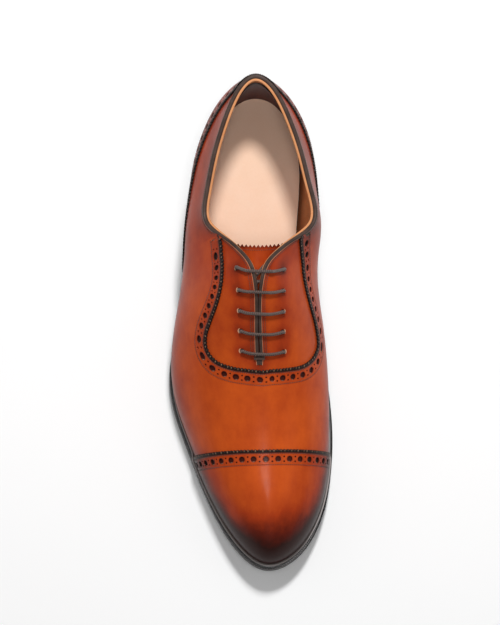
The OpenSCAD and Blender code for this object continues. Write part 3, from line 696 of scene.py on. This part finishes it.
def sheet_to(goal, border, k, m, turned):
    """Stations and heights of the sheet between a band's outer border and station goal."""
    A, V = (g[:, -1] for g in border)
    order = np.argsort(V)
    v, w = np.linspace(0, 1, m), np.linspace(0, 1, k)[:, None]
    a = np.interp(v, V[order], A[order]) * (1 - w) + goal * w
    return (a[::-1] if turned else a), v + 0 * a


print("bands ready")

# %% [markdown]
# ## The galosh: vamp and quarters in one
# The lower part of the upper is one piece of calf that runs round the whole foot and is cut away in
# a deep U for the lace facings. Its cut edge is scalloped with shears, stitched, punched with the
# brogue pattern and stitched again. The plain part is a patch with its upper border on the band.

# %% Galosh
side_line = np.linspace(0, 1, 400)
u_lat, u_med = 10 - 3.5 * side_line, 25.5 - 3.5 * side_line


def square_off(a, v, toe):
    """The last stretch before the ridge: the station follows a square law in 1 - v, whose slope at the
    ridge makes the line cross it squarely."""
    q, near = 1 - v, np.abs(a - toe) < 0.35
    i = np.argmin(np.where(near, np.abs(q - 0.1), 9))
    rate = (a[i] - toe) / q[i]
    end = 0.9 * np.sign(rate)
    bend = (rate - end) / (2 * q[i])
    return np.where(near & (q < q[i]), a[i] + end * (q - q[i]) + bend * (q**2 - q[i] ** 2), a)


v_lat, v_med = seam_v(u_lat), seam_v(u_med)
inset = Seam((square_off(u_med, v_med, 22.0), v_med), (square_off(u_lat, v_lat, 10.0), v_lat), ridge=(True, False))
galosh = brogue_band(inset, 0.0, margin=2.4, centre=inset.joins[0])
for half, (A, V) in zip((1, -1), inset.ends):
    order = np.argsort(A[:, -1])
    edge_a, edge_v = A[order, -1], V[order, -1]  # the band's outer border
    start, stop = edge_a[0], edge_a[-1]
    under = np.unique(np.concatenate([np.arange(start, stop, 0.04), edge_a]))
    under = under[np.concatenate([[True], np.diff(under) > 1e-4])]
    galosh.append(rows_of(under, 0.0, np.interp(under, edge_a, edge_v), 0.0, 46, burn=burnish))
    plain_ends = ((stop, 32, 130), (16, start, 110)) if half > 0 else ((0, start, 130), (stop, 16, 110))
    galosh += [rows_of(np.linspace(*e), 0.0, 1.0, 0.0, 60, burn=burnish) for e in plain_ends]
    wedge = (A[0], V[0]) if half > 0 else (A[-1, ::-1], V[-1, ::-1])  # from the band's end up to the top edge
    galosh.append(rows_of(*wedge, 1.0, 0.0, 8, burn=burnish))
piece("galosh", galosh, outer_calf, ["vamp"])

# %% [markdown]
# ## Toe cap and heel counter
# Both lie on top of the galosh. The cap is a straight one: its edge crosses the foot at the ball.
# The counter sweeps from the waist up to the heel's top edge.

# %% Toe cap
rise_v = np.linspace(0, 1, 120)
cap_seam = Seam((20.61 - 0.18 * rise_v, rise_v), (11.57 - 0.07 * rise_v, 1 - rise_v), ridge=(True, False))
cap = brogue_band(cap_seam, LAID, pitch=7.35, centre=cap_seam.joins[0] - 1.4)
for half, border in zip((1, -1), cap_seam.ends):
    a, v = sheet_to(16, border, 70, 90, half > 0)
    cap.append(patch(last(a, v, LAID), burn=burnish(a, v)))
piece("toe_cap_calf", cap, outer_calf, ["toe_cap"])


# %% Heel counter
def counter_edge(v):
    """How far forward the counter reaches at height v: long and low, then a steep climb at the back.
    The table is read as the mean of nine near heights, which rounds its corners."""
    table = [0, 0.25, 0.375, 0.4375, 0.5, 0.5625, 0.625, 0.75, 1], [7, 6.4, 5.5, 4.5, 3.5, 2.7, 2.2, 1.7, 1.2]
    return np.interp(np.asarray(v)[..., None] + np.linspace(-0.05, 0.05, 9), *table).mean(-1)


counter, counter_seams = [], []
climb = np.linspace(0, 0.995, 160)
for half in (-1, 1):
    seam = Seam((counter_edge(climb), climb) if half < 0 else (32 - 0.96 * counter_edge(climb[::-1]), climb[::-1]))
    counter_seams.append(seam)
    counter += brogue_band(seam, LAID)
    a, v = sheet_to(0 if half < 0 else 32, seam.ends[0], 60, 80, half < 0)
    roll = np.sqrt(1 - np.clip((v - 0.965) / 0.036, 0, 1) ** 2)
    counter.append(patch(last(a, v, LAID - 1 + roll), burn=burnish(a, v, 0.1), inked=0.8 * (v > 0.985)))
piece("heel_counter_calf", counter, outer_calf, ["heel_counter"])

# %% [markdown]
# ## Lace facings
# The facings sit inside the U, one thickness lower, and carry five lace holes a side. Every hole is
# pressed in by the pull of the lace, with painted shade in its depth, a pale torn rim on the outer side
# and a ring of darker polish round it.

# %% Facings
rng = np.random.default_rng(7)
for side, word in ((-1, "lateral"), (1, "medial")):
    a = np.linspace(6.5, 10, 200) if side < 0 else np.linspace(22, 25.5, 200)
    w = np.linspace(0, 1, 76)[None]
    low = (seam_v(a) * 0.95)[:, None]
    v = low * (1 - w) + w
    A = a[:, None] + 0 * v
    at = last(A, v, UNDER) * 1000
    off, hole_shade, fleck, burn = UNDER + 0 * v, 0 * v, 0 * v, burnish(A, v, 0.05)
    for hole in HOLES[side]:
        h = spot(hole, UNDER)
        d = np.linalg.norm(at - h, axis=-1)
        off = off - 1.1 * (1 - ease(0.55, 1.45, d))
        # painted shade: the hole's depth is painted dark, standing in for the shade inside the open hole round the lace
        hole_shade = np.maximum(hole_shade, 1 - ease(1.1, 1.7, d))
        rim = np.exp(-((d - 1.75) / 0.42) ** 2) * ease(0.1, 0.8, side * (at - h)[..., 0] / np.maximum(d, 0.2))
        fleck = np.maximum(fleck, rim * 1.15)
        burn = burn + 0.3 * np.exp(-(d / 5.5) ** 2)
    burn = np.clip(burn + ease(0.90, 0.985, v) * 0.25, 0, 1)
    calf_patch = patch(last(A, v, off), burn=burn, inked=hole_shade, fleck=fleck)
    piece(f"facing_calf_{word}", [calf_patch], outer_calf, [f"facing_{word}"])

# %% [markdown]
# ## Linings, heel grip and the bound top edge
# Inside, the shoe is lined with pale calf. The raw top edges of leather and lining are covered by a
# thin dark strip, rolled over the edge; the lining shows beside it as a thin pale lip.


# %% Linings
def lining(node, regions, ink=0.0, made_of="calf", finish=lining_calf, off=INSIDE):
    """Sheets that face into the shoe, with their backs a little further out."""
    parts = []
    for a, low, high in regions:
        # ink on the inner face: painted shade, darker towards the bottom of the shoe
        parts.append(rows_of(a, low, high, off, 44, inward=True, inked=ink))
        parts.append(rows_of(a, low, high, off + 0.6, 12, inked=0.0))
    piece(f"{node}_{made_of}", parts, finish, [node])


# painted shade: the lining is darkened towards the bottom of the shoe, where shade falls deep inside it
def deep(a, v): return 0.55 * (1 - ease(0.0, 0.25, v))
def to_facing(a): return a, 0.0, 0.875 * seam_v(a)


def whole(a): return a, 0.0, 1.0


lining("quarter_lining", [whole(np.linspace(-6.5, 6.5, 260)), to_facing(np.linspace(6.5, 8, 40)),
                          to_facing(np.linspace(24, 25.5, 40))], deep)
lining("vamp_lining", [to_facing(np.linspace(8, 9.995, 60)), whole(np.linspace(10, 22, 180)),
                       to_facing(np.linspace(22.005, 24, 60))], deep)
for side, word in ((-1, "lateral"), (1, "medial")):
    a = np.linspace(6.5, 10, 120) if side < 0 else np.linspace(22, 25.5, 120)
    lining(f"facing_lining_{word}", [(a, 0.875 * seam_v(a), 1.0)])
cloth = [rows_of(*to_facing(a), off, 40, inward=inward) for a in (np.linspace(4.5, 12, 160), np.linspace(20, 27.5, 160))
         for off, inward in ((-1.6, False), (-2.4, True))]
piece("interlining_canvas", cloth, canvas, ["interlining"])
lining("heel_grip", [(np.linspace(-4, 4, 160), 0.02, 0.86)], 0.0, "suede", grip_suede, INSIDE - 0.75)


# %% Binding and lining lip
def edge_roll(a, section, **more):
    """A section in millimetres (out, up) set on the top edge at every station a."""
    top, n, t = rib(a, 1), facing_out(a, 1), unit(rib(a, 1) - rib(a, 0.99))
    out, up = (columns(a, *parts)[..., None] for parts in section)
    return patch((top[:, None] + n[:, None] * out + t[:, None] * up + [DX, DY, 0]) / 1000, **more)


a = np.linspace(-9.85, 9.85, 640)
past = ease(6.2, 6.9, from_heel(a))[:, None]
shift, half = UNDER * past, 1.28 - 0.43 * past
inner = shift + 0.36 - 2 * half
phi = np.linspace(0, np.pi, 11)[None]
roll = edge_roll(a, ((shift + [[0.02, 0.3, 0.36, 0.36]], shift + 0.36 - half + half * np.cos(phi), inner),
                     ([[-1.3, -1.15, -0.85, -0.3]], 0.06 + 0.82 * np.sin(phi) ** 0.8, [[-1.0]])), loop_v=True)
piece("topline_binding_calf", [roll], binding_calf, ["topline_binding"], turn=True)
cut = edge_roll(a, ((shift + [[0.02, 0.2, 0.2, 0.02]],), ([[-1.66, -1.58, -1.28, -1.2]],)),
                burn=0.0, inked=0.0, fleck=0.62)
piece("binding_cut_edge", [cut], outer_calf, turn=True)
high, low = inner + 0.1, INSIDE - 0.1
lip = edge_roll(a, (((high + low) / 2 + (high - low) / 2 * np.cos(phi), [[INSIDE - 0.02]]),
                    (0.02 + 0.5 * np.sin(phi), [[-1.6]])))
piece("lining_lip", [lip], lining_calf, turn=True)

# %% [markdown]
# ## Thread
# A stitch is a short piece of waxed thread that dips into the leather at both ends. Hundreds are
# needed, so each is five small rings, and one sum places them all.


# %% Stitches
def stitches(line, normal):
    """Capsules along a line in metres: ring x lies at centre + x along it, thinner and lower at the
    ends."""
    p, pitch, long, thick, lift = line * 1000, 1.35, 0.9, 0.22, 0.03
    d = run(p)
    s = np.arange(pitch / 2, d[-1], pitch)

    def take(g, at): return np.stack([np.interp(at, d, g[:, k]) for k in range(3)], -1)

    c, n = take(p, s), take(normal, s)
    ahead = unit(take(p, np.minimum(s + 0.3, d[-1])) - take(p, s - 0.3))
    across = np.cross(n, ahead)
    twist = rng.normal(0, 0.06, len(s))[:, None]
    ahead = ahead + across * twist
    x = np.array([-0.5, -0.42, -0.2, 0.2, 0.42, 0.5]) * long
    r = np.array([0.0, 0.75, 1, 1, 0.75, 0.0]) * thick
    h = lift + np.array([-0.16, -0.06, 0.02, 0.02, -0.06, -0.16])
    f = np.arange(6) * np.pi / 3
    x, r, h = x[:, None], r[:, None], h[:, None]
    c, ahead, across, n = (g[:, None, None] for g in (c, ahead, across, n))
    sideways, upwards = (r * np.cos(f))[..., None], (r * np.sin(f) + h)[..., None]
    pts = (c + ahead * x[..., None] + across * sideways + n * upwards) / 1000
    S, k, m = pts.shape[:3]
    ids = np.arange(S * k * m).reshape(S, k, m)
    nxt = np.roll(ids, -1, 2)
    faces = np.stack([ids[:, :-1], ids[:, 1:], nxt[:, 1:], nxt[:, :-1]], -1).reshape(-1, 4)
    gx = np.broadcast_to(np.arange(k)[None, :, None] / (k - 1.0), ids.shape)
    gx = np.stack([gx[:, :-1], gx[:, 1:], gx[:, 1:], gx[:, :-1]], -1).reshape(-1, 4)
    uv = np.stack([gx, np.tile([0, 0, 1 / 6, 1 / 6], (len(faces), 1))], -1)
    return pts.reshape(-1, 3), faces[:, ::-1], uv[:, ::-1], {}


def seam_row(seam, t, base):
    s = np.arange(0.4, seam.length - 0.4, 0.3)
    return stitches(seam.at(s, t, base), seam.normal(s, t))


def top_row(a, drop, off):
    """A row that keeps drop millimetres below the top edge."""
    rate = np.linalg.norm(rib(a, 0.97) - rib(a, 0.93), axis=-1) / 0.04
    v = 1 - drop / rate
    return stitches(last(a, v, off), facing_out(a, v))


seams = [(inset, 0), (cap_seam, LAID)] + [(seam, LAID) for seam in counter_seams]
rows = [seam_row(seam, t, base - 0.02) for seam, base in seams for t in CHANNELS]
for sign in (-1, 1):
    rows.append(top_row(sign * np.linspace(1.5, 6.42, 500), 3.2, 0.0))
    rows.append(top_row(sign * np.linspace(6.6, 9.6, 400), 2.9, UNDER))
    rows.append(top_row(sign * np.linspace(7.7, 9.6, 300), 4.4, UNDER))
rows.append(top_row(np.linspace(-1.2, 1.2, 200), 3.2, LAID))
piece("upper_stitching", rows, thread, weld=1e-7, scale_uv=(0.001, 1))

# %% [markdown]
# ## Tongue
# One soft strip behind the lace slit. Its free end is cut with pinking shears, so the edge is a row
# of small teeth, with a line of stitches just below. It turns with its own body.

# %% Tongue
# values at places along the foot: the ridge's height, how sharply it arches, its sideways drift
TONGUE_TOP = [(-37, 53.95), (-34, 55.75), (-30, 56.7), (-26, 57.9), (-21, 60.1), (-16, 62.6), (-11, 65.2), (-6, 67.8),
              (-1, 70.2), (4, 72.3), (9, 73.5), (13, 74), (17, 74.3), (21, 74.8), (25, 75.3), (29, 75.8), (33, 76.6),
              (37, 77.7)]
TONGUE_ARCH = [(-37, 0.0205), (-34, 0.019), (-26, 0.0198), (-16, 0.023), (-6, 0.028), (4, 0.034), (9, 0.039),
               (13, 0.042), (17, 0.045), (21, 0.049), (25, 0.058), (29, 0.065), (33, 0.067), (37, 0.064)]
TONGUE_LINE = [(-37, 0.6), (-16, -0.2), (4, -0.8), (13, -0.3), (21, 0.5), (33, 1.5)]


def look(table, x):
    t = np.array(table, float)
    return np.interp(x, t[:, 0], t[:, 1])


def tongue_at(y, s, depth):
    """Across the tongue s runs -1 to 1; its height falls off with the square of the distance from
    its centre line."""
    x = s * 19 * (0.84 + 0.12 * ease(-36, 0, y) - 0.06 * ease(8, 30, y))
    w = y + 5 * s * s * ease(13, 32, y)
    z = feather_z(w) + look(TONGUE_TOP, w) - look(TONGUE_ARCH, w) * x * x - depth
    return np.stack([x + look(TONGUE_LINE, w) + DX, w + DY, z], -1) / 1000


s = np.linspace(-1, 1, 157)[None]
tooth = np.abs(((s * 19 * 0.9 / 2.4) % 1) * 2 - 1)
w = np.linspace(0, 1, 70)[:, None]
y = -37 + (69 + 1.5 * tooth * ease(0.9, 1, w)) * w
thin = 0.15 * ease(0.97, 1, w)
burn = np.clip(0.12 + 0.3 * np.abs(s) ** 3 + 0.35 * (1 - ease(-30, 8, y)) + 0.25 * ease(30.6, 31.8, y), 0, 1)
top, low = tongue_at(y, s, 0.05 + thin), tongue_at(y, s, 1.75 - thin)
ends = [patch(np.stack([low[0], top[0]], 1), burn=0.5, inked=0.0),
        patch(np.stack([top[-1], low[-1]], 1), burn=0.6, inked=0.4)]
burn, inked = (np.concatenate(g, 1) for g in ((burn, burn[:, ::-1]), (0.3 * ease(31.2, 32.2, y), 0 * y)))
strip = patch(np.concatenate([top, low[:, ::-1]], 1), loop_v=True, burn=burn, inked=inked)
piece("tongue_calf", [strip] + ends, outer_calf, ["tongue"], body="tongue", sharp=50)
s = np.linspace(-0.97, 0.97, 200)
row = stitches(tongue_at(30.5, s, 0.02), unit(np.stack([0.9 * s, 0 * s, 1 + 0 * s], -1)))
piece("tongue_stitching", [row], thread, body="tongue", weld=1e-7, scale_uv=(0.001, 1))

# %% [markdown]
# ## Lace
# One round waxed cord runs through all ten holes: five straight bars outside and a slanting run
# behind each pair. It is held by the shoe all the way, so it is a tube along the route of the frame.

# %% Lace
LR = 0.95
BAR, BEHIND = UNDER + LR + 0.35, INSIDE - LR - 0.2


def lace_bar(i):
    """From the inner hole to the outer one over the instep. The crossing lies on the ridge, some
    millimetres nearer the toe than the holes; each half climbs to it along the surface."""
    middle = sum(spot(HOLES[side][i], BAR)[1] for side in (1, -1)) / 2 - (2.8 if i == 0 else 1.2)
    points = []
    for side in (1, -1):
        at, up = HOLES[side][i]
        a = np.linspace(7.2, 10.5, 200) if side < 0 else np.linspace(24.8, 21.5, 200)
        cross = np.interp(-middle, -(read("ty", a) + DY), a)
        for w in (0, 0.22, 0.5, 0.8)[::side]:
            fall = 1 - (1 - w) ** 1.5
            points.append(spot((at + (cross - at) * fall, up + 0.01 + (0.985 - up) * w), BAR + 0.15 * w))
    return points


def lace_behind(i):
    (la, lv), (ma, mv) = HOLES[-1][i], HOLES[1][i - 1]
    turn = la - 0.12 if i == 1 else (32 - ma) * 0.7 + la * 0.3
    steps = [(la - 0.1, lv + 0.035, 0.1), (la - 0.16, 0.975, 0.2), (turn, 0.99, 0.3), (ma - 0.12, 0.965, 0.2),
             (ma - 0.06, mv + 0.06, 0.1)]
    return [spot((a, v), BEHIND - deeper) for a, v, deeper in steps]


def lace_hole(h, up):
    p = [spot(h, BEHIND), spot(h, (INSIDE + UNDER) / 2), spot(h, BAR - 0.5)]
    return p if up else p[::-1]


route = [spot((23.9 + 0.95 * k, 0.62 + 0.05 * k), BEHIND - 0.15) for k in np.linspace(1, 0, 6)]
route += [spot((23.3, 0.66), BEHIND - 0.1), spot((22.9, 0.72), BEHIND - 0.1)]
for i in range(4, -1, -1):
    route += lace_hole(HOLES[1][i], True) + lace_bar(i) + lace_hole(HOLES[-1][i], False)
    if i: route += lace_behind(i)
route += [spot((7.75 + 1.1 * k, 0.8 - 0.08 * k), BEHIND - 0.15) for k in np.linspace(0, 1, 5)]


def smooth_line(p, every):
    """A curve through all points, read at equal steps along its length."""
    q = np.vstack([2 * p[0] - p[1], p, 2 * p[-1] - p[-2]])
    t = np.linspace(0, 1, 12, endpoint=False)[None, :, None]
    f = through(t, *(q[k:len(q) - 3 + k][:, None] for k in range(4))).reshape(-1, 3)
    f = np.vstack([f, p[-1:]])
    L = run(f)
    s = np.linspace(0, L[-1], int(L[-1] / every))
    return np.stack([np.interp(s, L, f[:, k]) for k in range(3)], -1), L[-1]


def tube(p, r, n=14):
    """Rings round a line. Each ring's side direction is the last one's, made square to the new
    direction, so the tube never twists."""
    d = unit(np.gradient(p, axis=0))
    u, side = np.cross(d[0], [0.3, 0.2, 1.0]), []
    for k in d:
        u = unit(u - k * (u @ k))
        side.append(u)
    side = np.array(side)
    up = np.cross(d, side)
    f = np.arange(n) * 2 * np.pi / n
    return p[:, None] + r * (side[:, None] * np.cos(f)[:, None] + up[:, None] * np.sin(f)[:, None])


line, long = smooth_line(np.array(route), 0.6)
piece("round_lace", [patch(tube(line, LR) / 1000, loop_v=True)], lace_cord, ["lace"], turn=True,
      scale_uv=(long / 1000, 1), sharp=80)
print("lace length", round(long), "mm")

# %% Bar tack
mid = (spot((9.72, 1), UNDER) + spot((22.28, 1), UNDER)) / 2 + [0, 0, 0.25]
f = np.linspace(-1, 1, 9)
loops = []
for k, x in enumerate(np.linspace(-2.9, 2.9, 13)):
    lean = 0.1 * math.sin(5 * k)
    loop = mid + np.stack([x + lean * f, 1.15 * f, 0.34 * (1 - f**4) - 0.025 * abs(x)], -1)
    loops.append(patch(tube(loop, 0.3, 8) / 1000, loop_v=True))
piece("slit_bar_tack", loops, thread, ["bar_tack"], weld=1e-7, turn=True, scale_uv=(0.003, 1))

# %% [markdown]
# ## Sock, welt, sole and heel
# The sock is a thin calf sheet glued on the insole. The welt is the narrow black strip the upper is
# sewn to: a bead at its inner edge and a wheeled, notched outer part, both with a painted highlight in
# pale grey. The heel is a stack of leather lifts, inked black, with a rubber corner at the back.


# %% Plan outlines
def outline(a, out):
    """Plan points out millimetres outside the feather line at stations a."""
    n = outward(a)
    return np.stack([read("x", a), read("y", a)], -1) + n[..., :2] * np.asarray(out, float)[..., None]


def on_sole(plan, z):
    return np.stack([plan[..., 0] + DX, plan[..., 1] + DY, ground(plan[..., 1]) + z], -1) / 1000


def across_plan(a, out, k):
    """Rows of k plan points across the foot, from the outer edge to the inner one."""
    left, right = outline(a, out), outline(32 - a, out)
    t = np.linspace(0, 1, k)[None, :, None]
    return left[:, None] * (1 - t) + right[:, None] * t


plan = across_plan(np.linspace(0.0, 16.0, 220), INSIDE - 0.2, 41)
t = np.linspace(0, 1, 41)[None]
wide = np.linalg.norm(plan[:, -1] - plan[:, 0], axis=1)[:, None]
cup = 0.7 * np.maximum(0, 1 - np.minimum(t, 1 - t) * wide / 4) ** 2  # the sheet turns up a little at its rim
sock = [patch(on_sole(plan, 11.42 + cup)[::-1], inked=0.0), patch(on_sole(plan, 10.5), inked=0.0)]
piece("calf_sock", sock, sock_calf, ["sock"])


# %% Welt and rand
def swept(a, rows, welted):
    """Sweeps a section round the sole's edge. A row is (share of the way from feather to edge, extra
    millimetres out, height, 1 where the wheel notches it, how much painted highlight it carries, how far
    the welt is pushed out there); without a welt there is no notch and no push."""
    d = run(outline(a, 0))[:, None]
    share, extra, z, mark, worn, push = np.array(rows, float).T[:, None]
    notch = np.abs(np.sin(np.pi * d / 1.25)) ** 0.6
    u = from_heel(a)[:, None]
    pushed = 0.5 + 1.25 * ease(11.3, 11.6, u) + 0.3 * (1 - ease(6.8, 7.1, u))
    out = read("edge", a)[:, None] * share + extra + (pushed * push if welted else 0)
    height = z - 0.28 * mark * (1 - notch) * welted
    # painted highlight: strongest on the bead and on the tops of the notched teeth
    highlight_share = worn * (0.4 + 0.6 * notch * mark + 0.6 * (1 - mark))
    return patch(on_sole(outline(a[:, None], out), height), loop_v=True, worn=highlight_share), d[-1, 0]


section = [(0, -7, 5.02, 0, 0, 0), (0, -7, 7.98, 0, 0, 0), (0, -0.4, 7.98, 0, 0.2, 0.6), (0, 0.02, 8.3, 0, 0.75, 1),
           (0, 0.25, 8.62, 0, 1, 1), (0, 0.55, 8.68, 0, 1, 1), (0, 0.82, 8.5, 0, 0.7, 1), (0, 0.95, 8.1, 0, 0.05, 1),
           (0.36, 0.35, 7.95, 0, 0, 0.7), (0.5, 0.3, 7.98, 1, 0.16, 0.5), (0.72, 0.15, 8.0, 1, 0.3, 0.2),
           (0.9, 0.02, 7.96, 1, 0.42, 0), (0.97, 0, 7.7, 1, 0.5, 0), (1, 0, 7.2, 1, 0.3, 0), (1, 0, 6.2, 0, 0, 0),
           (0.99, 0, 5.3, 0, 0, 0), (0.97, -0.05, 5.02, 0, 0, 0)]
strip, long = swept(np.linspace(4.5, 27.5, 2400), section, True)
piece("welt_strip", [strip], ink, ["welt"], turn=True, sharp=50)
strip, _ = swept(np.linspace(-4.5, 4.5, 500), section, False)
piece("heel_rand_strip", [strip], ink, ["heel_rand"], turn=True, sharp=50)
print("welt runs", round(long), "mm")


# %% Outsole
a = np.linspace(0.0, 16.0, 260)
edge = read("edge", a)
both = np.concatenate([a, 16 + a[1:]])[:-1, None]
rim, rise = np.array([(0, 4.98), (0.0, 4.5), (0.12, 2.6), (0.05, 1.0), (-0.25, 0.35), (-0.8, 0.02)]).T[:, None]
wall = patch(on_sole(outline(both, read("edge", both) + rim), rise), loop_u=True, inked=1.0)
bottom, top = on_sole(across_plan(a, edge - 0.8, 27), 0.02), on_sole(across_plan(a, edge, 27), 4.98)
sheets = [wall, patch(bottom, inked=1.0), patch(top[::-1], inked=1.0)]
piece("leather_outsole", sheets, sole_bend, ["outsole"], turn=True, sharp=50)


# %% Heel lifts
def heel_block(low, high, start, stop, seat):
    """A lift: rows across the heel, drawn in a little towards the ground, with softened edges and a
    straight front. The seat lift's faces lean with the sole above it."""
    a = np.linspace(start, stop, 60)
    plan = across_plan(a, read("edge", a), 25)
    centre, soft = np.array([-0.5, 112.0]), 0.35
    layers = []
    for z, inset_mm in ((low, soft), (low + soft * 0.4, 0.1), (low + soft, 0.0), ((low + high) / 2, -0.04),
                        (high - soft, 0.0), (high - soft * 0.4, 0.1), (high, 0.0 if seat else soft)):
        p = centre + (plan - centre) * (1 - 0.06 * max(0, 27 - z) / 27)
        p = p - unit(p - centre) * inset_mm
        x, y = p[..., 0], p[..., 1]
        top = low + (ground(y) - 0.04 - low) * (z - low) / (high - low) if seat else z + 0 * y
        layers.append(np.stack([x + DX, y + DY, top], -1) / 1000)
    wall = np.stack([np.concatenate([g[:, 0], g[-1, 1:], g[::-1, -1][1:], g[0, ::-1][1:-1]]) for g in layers], 1)
    return [patch(wall, loop_u=True, inked=1.0, worn=0.0), patch(layers[-1][::-1], inked=1.0),
            patch(layers[0], inked=0.25)]


for name, node, low, high, start, stop, finish, slot in (
        ("heel_lift_wedge", "heel_lift_1", 16, 27, 0, 4.5, ink, "edge_black"),
        ("heel_lift_middle", "heel_lift_2", 11, 16, 0, 4.5, ink, "edge_black"),
        ("heel_lift_low", "heel_lift_3", 6, 11, 0, 4.5, ink, "edge_black"),
        ("heel_top_piece", "top_piece", 0, 6, 2.5, 4.5, sole_bend, "sole_leather"),
        ("heel_rubber_corner", "rubber_corner", 0, 6, 0, 2.5, rubber, "rubber_black")):
    piece(name, heel_block(low, high, start, stop, high == 27), finish, [node], sharp=35)

# %% [markdown]
# ## Hidden pieces keep their frame shapes
# Boards, cork, shank, nails and the blind eyelets are plain inside parts. Their shapes are already
# right, so they only get a finish.

# %% Finishes for the frame's own pieces
for node, finish in {"heel_stiffener": board, "toe_puff": board, "insole": board, "cork_filler": cork,
                     "shank_board": board, "shank": shank_steel, "heel_nails": nail_brass,
                     "hidden_eyelets": eyelet_metal, "aglet_1": tip_film, "aglet_2": tip_film}.items():
    NODE[node].data.materials.clear()
    NODE[node].data.materials.append(finish)
    print(node, "->", finish.name)

# %% Floor
half_side, level = 3.0, -0.0003
corners = [(half_side * x, half_side * y, level) for x, y in ((-1, -1), (1, -1), (1, 1), (-1, 1))]
ground_mesh = bpy.data.meshes.new("floor")
ground_mesh.from_pydata(corners, [], [(0, 1, 2, 3)])
floor = bpy.data.objects.new("floor", ground_mesh)
bpy.context.scene.collection.objects.link(floor)
pale = Coat("pale_floor")
shade = pale.noise(pale.place(), 3, 2).above(0.2, 0.8)
ground_mesh.materials.append(pale.finish(Base_Color=pale.mix(shade, (0.97,) * 3, (0.95,) * 3), Roughness=0.8))
